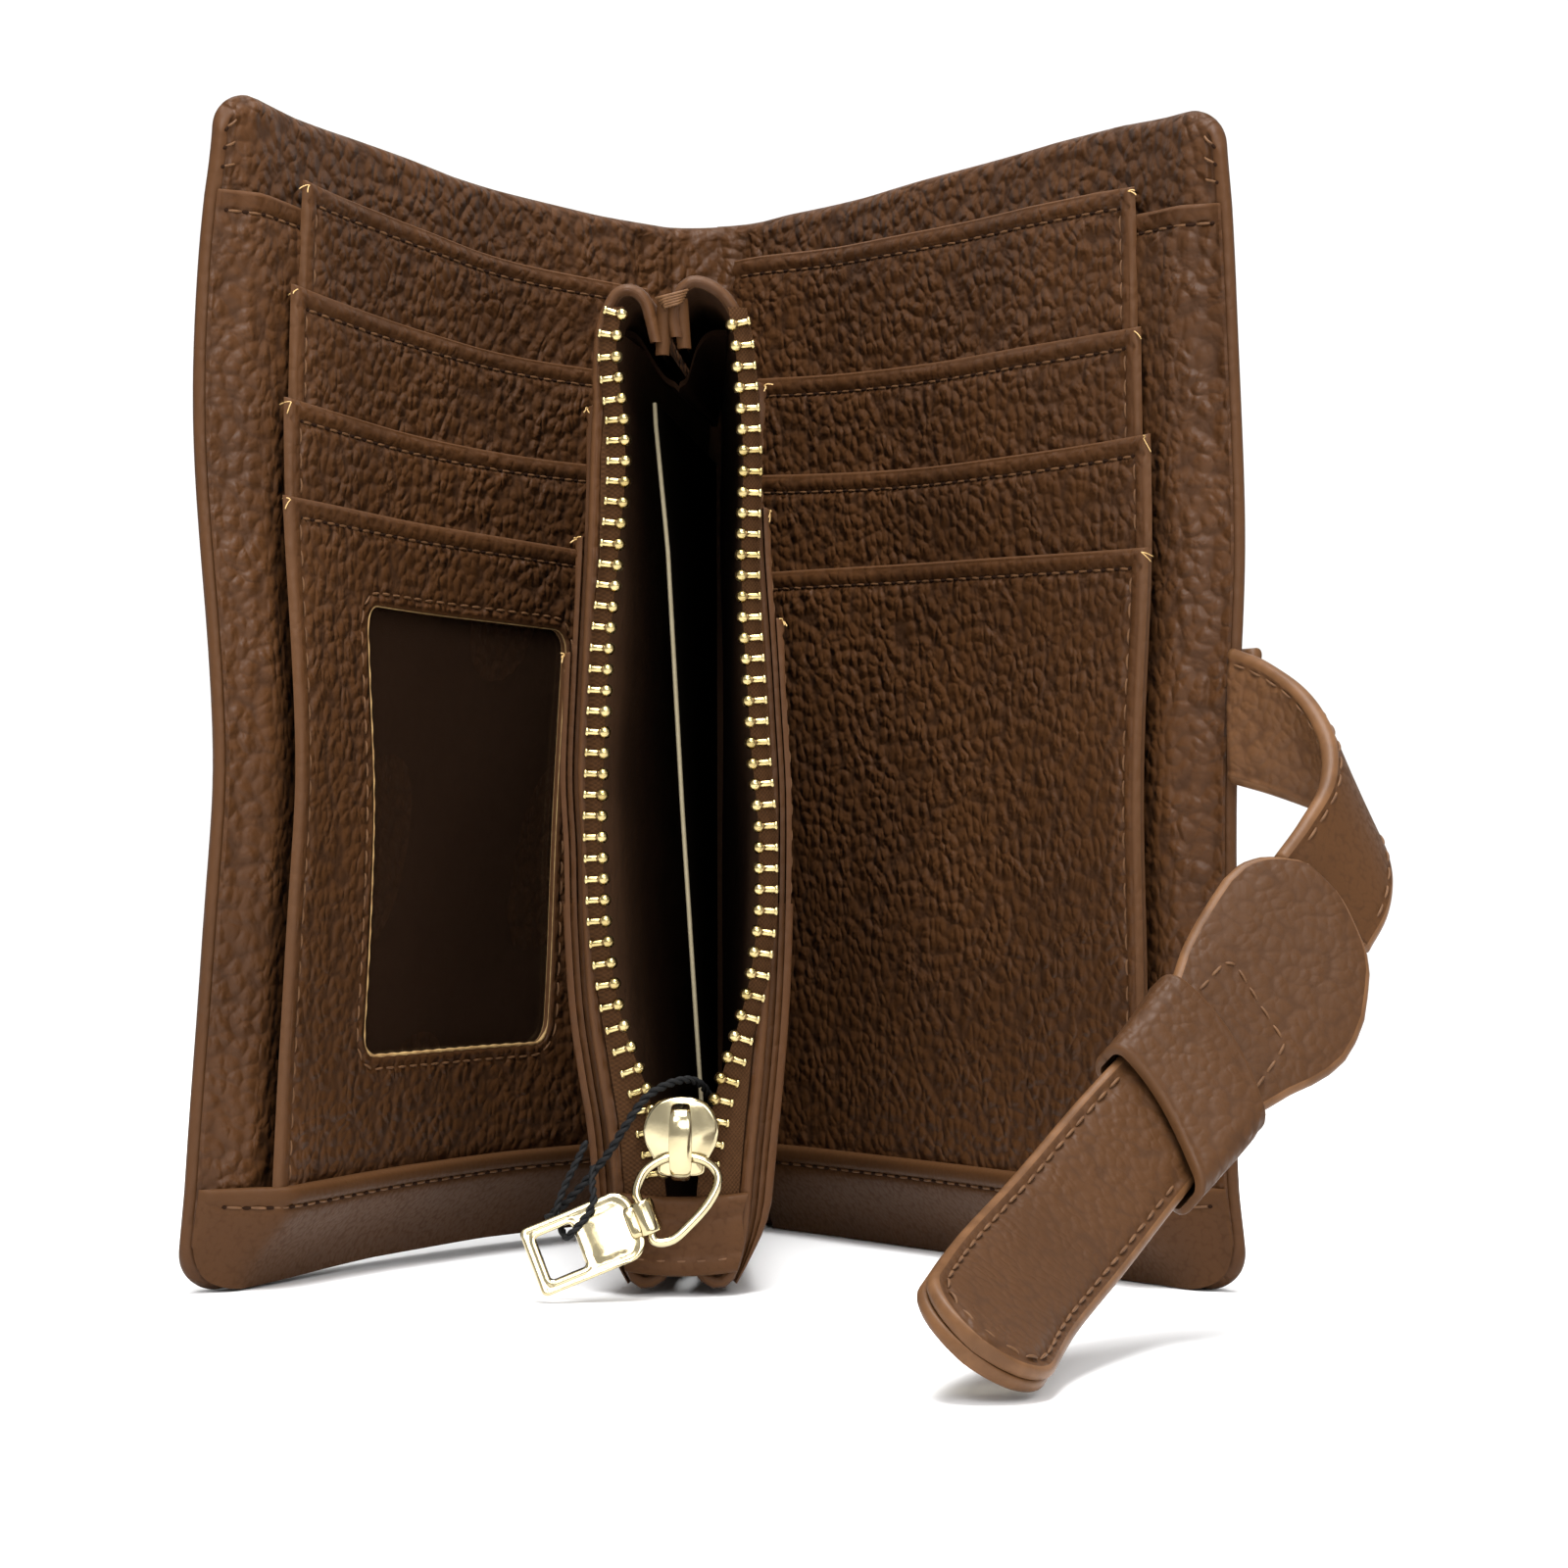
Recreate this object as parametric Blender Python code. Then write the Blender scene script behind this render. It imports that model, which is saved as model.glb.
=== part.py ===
"""Bifold wallet with a zipped coin pocket and a closing strap.

Frame: +Z up, the wallet stands on its lower edges at z = 0, open in a V towards -Y.
The origin is in the middle of the spine's thickness, at its bottom edge.
Lengths inside the script are in millimetres; place() turns them into metres.

The covers are described by u (from the spine fold to the outer edge), z (height)
and n (from the outer leather's face towards the inside of the wallet).
"""
import math

import bpy
import bmesh
import numpy as np

MM = 0.001

# Driving dimensions, millimetres
COVER_H = 140.0        # height of the covers
COVER_W = 106.5        # fold to outer edge
CORNER_R = 6.0         # outer corners of the covers
LEATHER = 1.2          # outer leather
COVER_T = 4.0          # leather, board and lining together
FOLD_X = 9.4           # folds lie at +-FOLD_X
FOLD_Y = -2.9
SPINE_RISE = 4.9       # the spine bulges this far behind the folds
POCKET_H = 119.0       # coin pocket
POCKET_FRONT_Y = -96.9
POCKET_X = -2.6        # where the pocket's mouth has drifted to at the front
TOOTH_PITCH = 2.45     # number 5 metal zip
SLIDER_Z0, SLIDER_Z1 = 14.4, 23.5
STRAP_W = 16.0
STRAP_T = 1.9

for o in list(bpy.data.objects):
    bpy.data.objects.remove(o, do_unlink=True)

MATS = {}


def material(name, rgb, rough, metal=0.0, alpha=1.0):
    if name not in MATS:
        m = bpy.data.materials.new(name)
        m.use_nodes = True
        b = m.node_tree.nodes["Principled BSDF"]
        b.inputs["Base Color"].default_value = (*rgb, 1)
        b.inputs["Roughness"].default_value = rough
        b.inputs["Metallic"].default_value = metal
        b.inputs["Alpha"].default_value = alpha
        m.diffuse_color = (*rgb, alpha)
        MATS[name] = m
    return MATS[name]


LEATHER_M = ("pebbled_leather", (0.115, 0.048, 0.016), 0.55)
SMOOTH_M = ("smooth_leather", (0.10, 0.040, 0.014), 0.5)
BOARD_M = ("stiffener_board", (0.45, 0.40, 0.32), 0.9)
FABRIC_M = ("lining_fabric", (0.035, 0.018, 0.010), 0.85)
TAPE_M = ("zip_tape", (0.060, 0.026, 0.011), 0.85)
BRASS_M = ("brass", (0.80, 0.66, 0.36), 0.25, 1.0)
GOLD_M = ("pale_gold", (0.86, 0.78, 0.56), 0.2, 1.0)
FILM_M = ("clear_film", (0.25, 0.20, 0.17), 0.1, 0.0, 0.35)
MAGNET_M = ("magnet", (0.35, 0.35, 0.36), 0.4, 1.0)
THREAD_M = ("black_thread", (0.01, 0.01, 0.01), 0.8)


def add_mesh(name, verts, faces, mat, smooth=False):
    """One closed body from points in millimetres, with its faces turned outwards."""
    bm = bmesh.new()
    vs = [bm.verts.new((x * MM, y * MM, z * MM)) for x, y, z in verts]
    for f in faces:
        bm.faces.new([vs[i] for i in f])
    bmesh.ops.recalc_face_normals(bm, faces=bm.faces)
    bmesh.ops.triangulate(bm, faces=bm.faces)
    if bm.calc_volume(signed=True) < 0:
        bmesh.ops.reverse_faces(bm, faces=bm.faces)
    me = bpy.data.meshes.new(name)
    bm.to_mesh(me)
    bm.free()
    if smooth:
        me.shade_smooth()
        me.set_sharp_from_angle(angle=math.radians(40))
    me.materials.append(material(*mat))
    o = bpy.data.objects.new(name, me)
    bpy.context.scene.collection.objects.link(o)
    return o


def cells(name, us, zs, ns, keep, place, mat, smooth=False):
    """A body made of the kept cells of a grid, bent into shape by place(u, z, n)."""
    nu, nz, nn = len(us) - 1, len(zs) - 1, len(ns) - 1
    kept = {
        (i, j, k)
        for i in range(nu)
        for j in range(nz)
        for k in range(nn)
        if keep(i, j, k)
    }
    verts, index, faces = [], {}, []

    def vert(i, j, k):
        if (i, j, k) not in index:
            index[i, j, k] = len(verts)
            verts.append(place(us[i], zs[j], ns[k]))
        return index[i, j, k]

    sides = (
        ((1, 0, 0), ((1, 0, 0), (1, 1, 0), (1, 1, 1), (1, 0, 1))),
        ((-1, 0, 0), ((0, 0, 0), (0, 0, 1), (0, 1, 1), (0, 1, 0))),
        ((0, 1, 0), ((0, 1, 0), (0, 1, 1), (1, 1, 1), (1, 1, 0))),
        ((0, -1, 0), ((0, 0, 0), (1, 0, 0), (1, 0, 1), (0, 0, 1))),
        ((0, 0, 1), ((0, 0, 1), (1, 0, 1), (1, 1, 1), (0, 1, 1))),
        ((0, 0, -1), ((0, 0, 0), (0, 1, 0), (1, 1, 0), (1, 0, 0))),
    )
    for i, j, k in sorted(kept):
        for (di, dj, dk), quad in sides:
            if (i + di, j + dj, k + dk) not in kept:
                faces.append([vert(i + a, j + b, k + c) for a, b, c in quad])
    return add_mesh(name, verts, faces, mat, smooth)


def everything(i, j, k):
    return True


# ---------------------------------------------------------------- covers

def fold_angle(side, u):
    """Angle of the cover from -Y, in degrees, at a distance u from the fold."""
    t = min(max(u / COVER_W, 0.0), 1.0)
    if side < 0:
        return 17.5 + 19.5 * (1 - t) ** 1.2
    return 33.5 - 7.8 * t


STEP = 0.5
PATHS = {}
for side in (-1, 1):
    x, y, path = side * FOLD_X, FOLD_Y, []
    for i in range(int(COVER_W / STEP) + 40):
        path.append((x, y))
        a = math.radians(fold_angle(side, (i + 0.5) * STEP))
        x += side * math.sin(a) * STEP
        y -= math.cos(a) * STEP
    PATHS[side] = np.array(path)


def cover_point(side, u, n):
    """Plan position of the point u along the cover and n in from its outer face."""
    p = PATHS[side]
    s = np.arange(len(p)) * STEP
    x, y = np.interp(u, s, p[:, 0]), np.interp(u, s, p[:, 1])
    a = math.radians(fold_angle(side, u))
    return x - side * math.cos(a) * n, y - math.sin(a) * n


def rounded(u, z):
    """Heights drawn in near the outer corners."""
    d = u - (COVER_W - CORNER_R)
    if d <= 0:
        return z
    drop = CORNER_R - math.sqrt(max(CORNER_R**2 - min(d, CORNER_R) ** 2, 0))
    if z > COVER_H - 12:
        return COVER_H - 12 + (z - COVER_H + 12) * (12 - drop) / 12
    if z < 12:
        return 12 - (12 - z) * (12 - drop) / 12
    return z


def on_cover(side):
    def place(u, z, n):
        x, y = cover_point(side, u, n)
        return float(x), float(y), rounded(u, z)

    return place


GRID = [13.0, 27.0, 41.0, 54.0, 67.0, 80.0, 93.0, 100.5, 103.5, 105.3]


def stations(u0, u1, extra=()):
    inner = [g for g in sorted(set(GRID) | set(extra)) if u0 + 0.8 < g < u1 - 0.5]
    return [u0, *inner, u1]


COVERS = {
    -1: dict(
        name="front_cover",
        tops=(130.0, 117.6, 104.5, 92.7),
        ends=(92.5, 94.0, 95.4, 96.0),
        panel="id_window_panel",
    ),
    1: dict(
        name="back_cover",
        tops=(130.0, 114.0, 100.0, 88.0),
        ends=(92.5, 94.0, 95.4, 96.0),
        panel="slip_pocket_panel",
    ),
}

for side, c in COVERS.items():
    place, name = on_cover(side), c["name"]
    us = [0.4, 2.6, *stations(2.6, COVER_W)[1:-1], COVER_W - 0.5, COVER_W]
    us = sorted(set(us))
    last = len(us) - 2
    zs = [0, LEATHER, 12, 70, 128, COVER_H - LEATHER, COVER_H]
    # outer leather, turned over the top, bottom and outer edges of the board
    cells(
        f"{name}_outer_leather", us, zs, [0, LEATHER, COVER_T],
        lambda i, j, k, last=last: k == 0 or i == last or (i >= 1 and j in (0, 5)),
        place, LEATHER_M,
    )
    cells(
        f"{name}_board", stations(1.5, COVER_W - 1.2), [1.6, 12, 70, 128, 138.4],
        [1.5, 2.9], everything, place, BOARD_M,
    )
    cells(
        f"{name}_lining", stations(3.0, COVER_W - 1.2), [1.6, 12, 70, 128, 138.4],
        [3.2, 4.0], everything, place, LEATHER_M,
    )
    # base pocket panel: its outer strip stays in view beside the card stack
    cells(
        f"{name}_base_pocket", stations(7.5, COVER_W - 1.0), [2.0, 12, 70, 128.5],
        [5.0, 5.8], everything, place, LEATHER_M,
    )
    for k in range(3):
        cells(
            f"{name}_card_slot_{k + 1}", stations(10.0, c["ends"][k]),
            [2.0, 70, c["tops"][k]],
            [6.1 + 0.9 * k, 6.7 + 0.9 * k], everything, place, LEATHER_M,
        )
    if side < 0:
        us = stations(10.0, 96.0, (80.0,))
        i0, i1 = us.index(27.0), us.index(80.0)
        cells(
            f"{name}_{c['panel']}", us, [2.0, 27.0, 54.0, 81.5, c["tops"][3]],
            [9.4, 10.0],
            lambda i, j, k, i0=i0, i1=i1: not (i0 <= i < i1 and j in (1, 2)),
            place, LEATHER_M,
        )
        cells(
            "id_window_film", stations(24.0, 83.0), [24.0, 54.0, 85.0],
            [8.8, 9.1], everything, place, FILM_M,
        )
    else:
        cells(
            f"{name}_{c['panel']}", stations(10.0, 96.0), [2.0, 45.0, c["tops"][3]],
            [9.4, 10.0], everything, place, LEATHER_M,
        )
    cells(
        f"{name}_bottom_band", stations(10.0, COVER_W - 1.0), [1.2, 6.0, 12.2],
        [10.3, 10.9], everything, place, SMOOTH_M,
    )

# ---------------------------------------------------------------- spine

R = (FOLD_X**2 + SPINE_RISE**2) / (2 * SPINE_RISE)
HALF = math.degrees(math.asin(FOLD_X / R))
SPINE_CY = FOLD_Y + SPINE_RISE - R


def on_spine(a, z, n):
    r = R - n
    return r * math.sin(math.radians(a)), SPINE_CY + r * math.cos(math.radians(a)), z


ANG = [-HALF + 2, -40, -27, -13, 0, 13, 27, 40, HALF - 2]
cells(
    "spine_outer_leather", ANG, [0, LEATHER, 12, 70, 128, COVER_H - LEATHER, COVER_H],
    [0, LEATHER, COVER_T],
    lambda i, j, k: k == 0 or (1 <= i <= 6 and j in (0, 5)), on_spine, LEATHER_M,
)
cells("spine_board", ANG[1:-1], [1.6, 70, 138.4], [1.5, 2.9], everything, on_spine, BOARD_M)
cells("spine_lining", ANG[1:-1], [1.6, 70, 138.4], [3.2, 4.0], everything, on_spine, LEATHER_M)

# ---------------------------------------------------------------- coin pocket

POCKET_BACK_Y = -6.4


def mouth(z):
    """Half width of the pocket at its front edge, over the leather."""
    return float(np.interp(
        z, [0, 6, 12, 25, 45, 70, 100, 120], [6.5, 8.5, 9.6, 11.4, 12.8, 12.6, 11.2, 10.0]
    ))


def pocket_t(y):
    return min(max((POCKET_BACK_Y - y) / (POCKET_BACK_Y - POCKET_FRONT_Y), 0), 1.05)


def pocket_centre(y):
    return POCKET_X * pocket_t(y)


def pocket_half(y, z):
    return 2.3 + (mouth(z) - 2.3) * pocket_t(y)


def on_wall(side):
    """u is Y here, and n runs outwards from the wall's outer face."""
    def place(u, z, n):
        return pocket_centre(u) + side * (pocket_half(u, z) + n), u, z

    return place


YS = [POCKET_FRONT_Y, -80.0, -50.0, -25.0, POCKET_BACK_Y]
ZS = [0.8, 6, 12, 25, 45, 70, 100, POCKET_H]
SIDES = {-1: "left", 1: "right"}
STEPS = {-1: (104.8, 89.3, 75.5), 1: (107.6, 92.7, 79.5)}
for side, word in SIDES.items():
    place = on_wall(side)
    cells(f"coin_pocket_wall_{word}", YS, ZS, [-0.9, 0], everything, place, LEATHER_M)
    cells(
        f"coin_pocket_lining_{word}", [-96.4, -80, -50, -25, -8.0],
        [2.6, 6, 12, 25, 45, 70, 100, 117.0],
        [-1.6, -1.2], everything, place, FABRIC_M,
    )
    for k, top in enumerate(STEPS[side]):
        zs = [z for z in ZS[:-1] if z < top - 3] + [top]
        zs[0] = 1.2
        cells(
            f"coin_pocket_slot_{word}_{k + 1}", [-94.6 - 0.5 * k, -80, -50, -25, -17.0],
            zs, [0.3 + 0.8 * k, 0.8 + 0.8 * k], everything, place, LEATHER_M,
        )

# divider between the two coin compartments, leaning with the pocket


def on_divider(u, z, n):
    lean = 2.6 * (z - 60) / 60 * pocket_t(u)
    return pocket_centre(u) - 1.2 * pocket_t(u) - lean + n, u, z


cells("coin_divider", [-86.5, -50, -25, -8.0], [8.0, 55.0, 105.0], [-0.35, 0.35],
      everything, on_divider, FABRIC_M)


def gusset(sag):
    """A folded strip between the two walls; u is Y, z is across from wall to wall."""
    def place(u, f, n):
        base = 1.4 if sag > 0 else 118.4
        h = pocket_half(u, base) - 2.1
        return pocket_centre(u) + f * h, u, base + n + sag * (1 - abs(f))

    return place


cells("coin_pocket_bottom_gusset", [-95.5, -50, -25, -9.0], [-1, -0.5, 0, 0.5, 1],
      [0, 0.7], everything, gusset(3.4), LEATHER_M)
cells("coin_pocket_top_gusset", [-95.5, -50, -25, -9.0], [-1, -0.5, 0, 0.5, 1],
      [-0.7, 0], everything, gusset(-6.5), LEATHER_M)

# ---------------------------------------------------------------- zip

ROW_LOW, ROW_MID, ROW_LONG = 10.0, 46.0, 150.0
ROW_SHUT, ROW_OPEN = 1.6, 9.3


def row_half(z):
    """Half the distance between the two rows of teeth: shut below, open in the middle."""
    if z <= ROW_MID:
        t = min(max((z - ROW_LOW) / (ROW_MID - ROW_LOW), 0), 1)
        w = t * t * (3 - 2 * t)
    else:
        t = (z - ROW_MID) / ROW_LONG
        w = 1 - t * t * (3 - 2 * t)
    return ROW_SHUT + (ROW_OPEN - ROW_SHUT) * w


def on_row(side):
    def place(u, z, n):
        return POCKET_X + side * (row_half(z) + u), n, z

    return place


TOOTH_Z0, TEETH = 14.0, 41
for side, word in SIDES.items():
    z, zs, solid = TOOTH_Z0 + (TOOTH_PITCH / 2 if side > 0 else 0), [], []
    for i in range(TEETH - (side > 0)):
        zs += [z, z + 1.15]
        z += TOOTH_PITCH
    # the teeth, clamped on the cord that runs along the tape's edge
    cells(
        f"zip_teeth_{word}", [-0.6, 0.5, 3.3], zs, [-99.0, -97.5],
        lambda i, j, k: i == 0 or j % 2 == 0, on_row(side), BRASS_M,
    )
    tape = [13.0, 18, 25, 32, 40, 46, 60, 80, 100, 115.0]

    def tape_place(u, z, n, side=side):
        inner, outer = row_half(z) + 3.6, mouth(z) - 0.1
        return POCKET_X + side * (inner + u * max(outer - inner, 0.6)), n, z

    cells(f"zip_tape_{word}", [0, 1], tape, [-98.0, -97.3], everything, tape_place, TAPE_M)

# slider: two wings joined by a post, with the bridge standing on the front wing


def on_slider(u, z, n):
    t = (z - SLIDER_Z0) / (SLIDER_Z1 - SLIDER_Z0)
    wide = 0.68 + 0.32 * min(t * 1.6, 1.0) if abs(u) > 2 else 1.0
    return POCKET_X + u * wide, n, z


SX = [-4.6, -1.3, -0.5, 0.5, 1.3, 4.6]
SY = [-103.9, -102.9, -100.6, -99.4, -97.1, -96.1]
SZ = [SLIDER_Z0, 15.6, 20.0, 21.4, SLIDER_Z1]


def slider_cell(i, j, k):
    if k == 2 or k == 4:
        return True
    if k == 3:
        return i == 2 and j == 3
    if i in (1, 2, 3) and k in (0, 1):
        return (k == 0 and j <= 2) or (k == 1 and j in (0, 2))
    return False


cells("zip_slider_body", SX, SZ, SY, slider_cell, on_slider, GOLD_M)

# pull link: a closed wire loop through the bridge; its straight bar carries the plate
BRIDGE_X, BRIDGE_Z = POCKET_X, 16.4


def hang(dx, dz, dy=0.0):
    """A point of the puller, measured from the wire's place in the bridge."""
    return BRIDGE_X + dx, -101.8 + 0.25 * dz + dy, BRIDGE_Z + dz


BETA = math.radians(22.0)
P_DIR = (-math.cos(BETA), -math.sin(BETA))
Q_DIR = (-math.sin(BETA), math.cos(BETA))
BAR = (-4.0, -6.6)
corner = [(BAR[0] + s * 3.0 * Q_DIR[0], BAR[1] + s * 3.0 * Q_DIR[1]) for s in (1, -1)]
loop = [
    corner[0], (-4.3, -1.6), (-2.6, -0.3), (-1.0, 0.15), (1.0, 0.15), (3.0, -0.4),
    (4.2, -1.6), (4.2, -3.2), (3.0, -5.4), (1.0, -7.6), (-0.9, -9.2), corner[1],
]


def tube_loop(name, pts, r, sides, mat):
    verts, faces, m = [], [], len(pts)
    for i, p in enumerate(pts):
        a, b = pts[i - 1], pts[(i + 1) % m]
        tx, tz = b[0] - a[0], b[1] - a[1]
        q = math.hypot(tx, tz)
        bx, bz = -tz / q, tx / q
        for k in range(sides):
            th = 2 * math.pi * k / sides
            c, s = r * math.cos(th), r * math.sin(th)
            verts.append(hang(p[0] + c * bx, p[1] + c * bz, s))
    for i in range(m):
        for k in range(sides):
            j, l = (i + 1) % m, (k + 1) % sides
            faces.append((i * sides + k, i * sides + l, j * sides + l, j * sides + k))
    return add_mesh(name, verts, faces, mat, True)


tube_loop("zip_pull_link", loop, 0.55, 8, GOLD_M)

# pull plate: folded round the bar, with a window near its free end


def on_plate(u, q, n):
    return hang(
        BAR[0] + u * P_DIR[0] + q * Q_DIR[0], BAR[1] + u * P_DIR[1] + q * Q_DIR[1], n
    )


PU = [-1.7, -0.95, 0.95, 2.2, 8.2, 12.6, 14.2]
PQ = [-4.1, -2.6, -2.0, 2.0, 2.6, 4.1]
PN = [-1.5, -0.95, -0.6, 0.6, 0.95, 1.5]


def plate_cell(i, j, k):
    if i == 0 and 2 <= j <= 2:
        return True
    if i == 1 and j == 2:
        return k in (0, 4)
    if i == 2 and j == 2:
        return True
    if i in (3, 5) or (i == 4 and j in (0, 4)) or (i == 4 and j in (1, 3)):
        return k == 2
    return False


cells("zip_pull_plate", PU, PQ, PN, plate_cell, on_plate, GOLD_M)

# leather patch that closes the mouth below the slider


def on_patch(u, z, n):
    return POCKET_X + u * (1 - 0.03 * (12 - z)), n, z


cells("zip_end_patch", [-7.2, 0, 7.2], [2.8, 7.0, 12.4], [-99.2, -98.4],
      everything, on_patch, LEATHER_M)

# ---------------------------------------------------------------- tag thread


def smooth_path(pts, count):
    """Points of a Catmull-Rom curve through pts."""
    p = [np.array(q, float) for q in pts]
    p = [2 * p[0] - p[1], *p, 2 * p[-1] - p[-2]]
    out = []
    spans = len(p) - 3
    for i in range(count):
        s = i / (count - 1) * spans
        k = min(int(s), spans - 1)
        t = s - k
        a, b, c, d = p[k : k + 4]
        out.append(0.5 * (2 * b + (c - a) * t + (2 * a - 5 * b + 4 * c - d) * t**2
                          + (3 * b - a - 3 * c + d) * t**3))
    return out


THREAD_R = 0.35
THREAD = [(-18.2, -100.9, 9.4), (-16.0, -100.9, 11.2), (-13.6, -101.0, 13.8), (-11.0, -101.3, 17.0),
          (-9.0, -101.6, 20.2), (-6.7, -101.6, 23.4), (-4.0, -100.4, 25.0), (-1.4, -98.0, 25.3),
          (0.4, -94.6, 23.6), (1.2, -92.0, 19.6)]


def tube(name, pts, r, mat, bevel=2):
    cu = bpy.data.curves.new(name, "CURVE")
    cu.dimensions = "3D"
    cu.bevel_depth = r * MM
    cu.bevel_resolution = bevel
    cu.use_fill_caps = True
    cu.resolution_u = 1
    cu.render_resolution_u = 0
    sp = cu.splines.new("POLY")
    sp.points.add(len(pts) - 1)
    for q, p in zip(sp.points, pts):
        q.co = (p[0] * MM, p[1] * MM, p[2] * MM, 1)
    cu.materials.append(material(*mat))
    o = bpy.data.objects.new(name, cu)
    bpy.context.scene.collection.objects.link(o)
    return o


tube("tag_thread", smooth_path(THREAD, 28), THREAD_R, THREAD_M)

# ---------------------------------------------------------------- strap

# the strap's root is sewn on the outside of the back cover at mid-height
cells("strap_anchor", stations(74.0, COVER_W - 0.5), [60.2, 76.2], [-2.2, -0.3],
      everything, on_cover(1), LEATHER_M)

# upper and lower edge of the strap as it curls forwards round the cover's outer edge
UPPER = [(62.4, -96.6, 76.0), (65.2, -101.6, 74.2), (68.2, -107.4, 70.6), (69.7, -113.2, 65.4),
         (69.0, -118.2, 60.2), (66.6, -121.8, 55.6), (64.0, -124.0, 51.6)]
LOWER = [(62.4, -96.6, 60.0), (67.0, -100.8, 58.4), (72.6, -105.0, 56.0), (77.0, -109.6, 52.8),
         (78.8, -114.2, 48.8), (78.0, -118.4, 44.6), (75.4, -121.2, 40.8)]
NS = 15
UP, LO = smooth_path(UPPER, NS), smooth_path(LOWER, NS)


def strap_place(i, f, n):
    i = int(i)
    a, b = LO[i], UP[i]
    j, k = min(i + 1, NS - 1), max(i - 1, 0)
    along = (LO[j] + UP[j]) - (LO[k] + UP[k])
    m = np.cross(along, b - a)
    m /= np.linalg.norm(m)
    return tuple(float(v) for v in a + (b - a) * f + m * n)


cells("strap_lining", list(range(NS)), [0, 0.5, 1], [-0.8, 0], everything, strap_place, SMOOTH_M)
cells("strap_outer_leather", list(range(NS)), [0, 0.5, 1], [0.3, 1.2], everything,
      strap_place, LEATHER_M)

# pad, keeper and tongue lie along one bent centreline
TONGUE = [(66.6, -125.6, 45.0), (59.6, -130.6, 36.0), (53.2, -137.4, 27.6), (46.0, -146.2, 20.8),
          (38.4, -160.5, 14.0), (32.4, -175.5, 9.6), (29.2, -188.5, 7.2)]
NT = 49
TC = smooth_path(TONGUE, NT)
TLEN = np.concatenate([[0], np.cumsum([np.linalg.norm(TC[i + 1] - TC[i]) for i in range(NT - 1)])])


def tongue_frame(s):
    p = np.array([np.interp(s, TLEN, [q[k] for q in TC]) for k in range(3)])
    c = min(max(s, 0), TLEN[-1])
    d0, d1 = max(c - 1.5, 0), min(c + 1.5, TLEN[-1])
    q0 = np.array([np.interp(d0, TLEN, [q[k] for q in TC]) for k in range(3)])
    q1 = np.array([np.interp(d1, TLEN, [q[k] for q in TC]) for k in range(3)])
    a = (q1 - q0) / np.linalg.norm(q1 - q0)
    if s < 0:
        p = TC[0] + a * s
    if s > TLEN[-1]:
        p = TC[-1] + a * (s - TLEN[-1])
    w = np.array([0.8, 0.0, -0.6])
    w -= a * w.dot(a)
    w /= np.linalg.norm(w)
    m = np.cross(a, w)
    return p, a, w, m


def on_tongue(width):
    def place(s, f, n):
        p, a, w, m = tongue_frame(s)
        q = p + w * f * width(s) + m * n
        return tuple(float(v) for v in q)

    return place


T1 = float(TLEN[-1]) + 7.2      # tip of the tongue
KEEP0, KEEP1 = 19.5, 33.5       # the keeper band along the centreline


def tongue_width(s):
    half = 7.5
    d = s - (T1 - half)
    return math.sqrt(max(half**2 - d * d, 0.2)) if d > 0 else half


def pad_width(s):
    """The pad is round at its head and narrows into the keeper."""
    d = s - 4.0
    r = 10.3
    if d < 0:
        return math.sqrt(max(r * r - d * d, 0.3))
    return float(np.interp(s, [4.0, 7.0, 10.0, 13.0, 16.0], [10.3, 9.9, 8.9, 7.9, 7.5]))


def tongue_stations(s0, s1, extra=()):
    body = [s for s in np.arange(-6, T1, 5.0) if s0 + 1 < s < s1 - 1]
    return sorted({s0, *[float(b) for b in body], *extra, s1})


ends = [T1 - 6.4, T1 - 5.2, T1 - 3.4, T1 - 1.9, T1 - 0.8, T1 - 0.2]
F = [-1, -0.5, 0, 0.5, 1]
heads = [-6.2, -5.8, -5.0, -3.6, -1.6, 1.0, 4.0, 7.0, 10.0, 12.5]
cells("strap_pad", sorted({*heads, 14.6, 20.0, 25.0}), F, [0.9, 2.7], everything,
      on_tongue(pad_width), LEATHER_M)
cells("tongue_outer_leather", tongue_stations(8.5, T1 - 0.1, ends), F, [-0.7, 0.6],
      everything, on_tongue(tongue_width), LEATHER_M)
cells("tongue_inner_leather", tongue_stations(8.5, T1 - 0.1, ends), F, [-2.9, -1.7],
      everything, on_tongue(tongue_width), SMOOTH_M)




def snap_place(centre_s, r):
    def place(a, rad, n):
        p, ax, w, m = tongue_frame(centre_s)
        th = math.radians(a)
        q = p + ax * r * math.cos(th) * rad + w * r * math.sin(th) * rad + m * n
        return tuple(float(v) for v in q)

    return place


def disc(name, place, r_count, n0, n1, mat):
    verts = [place(360 * i / r_count, 1, n0) for i in range(r_count)]
    verts += [place(360 * i / r_count, 1, n1) for i in range(r_count)]
    faces = [tuple(range(r_count)), tuple(range(r_count, 2 * r_count))]
    faces += [(i, (i + 1) % r_count, r_count + (i + 1) % r_count, r_count + i) for i in range(r_count)]
    return add_mesh(name, verts, faces, mat)


disc("snap_plate_tongue", snap_place(T1 - 13.0, 4.5), 16, -3.9, -3.2, MAGNET_M)


def front_snap_place(a, rad, n):
    th = math.radians(a)
    return on_cover(-1)(62.0 + 5.0 * math.cos(th), 62.0 + 5.0 * math.sin(th), n)


disc("snap_plate_front_cover", front_snap_place, 16, -1.3, -0.3, MAGNET_M)

# keeper: a closed band round the pad's tail and the tongue
KW = [-9.0, -8.0, 8.0, 9.0]


def keeper_place(s, f, n):
    p, a, w, m = tongue_frame(s)
    return tuple(float(v) for v in p + w * f + m * n)


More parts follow.
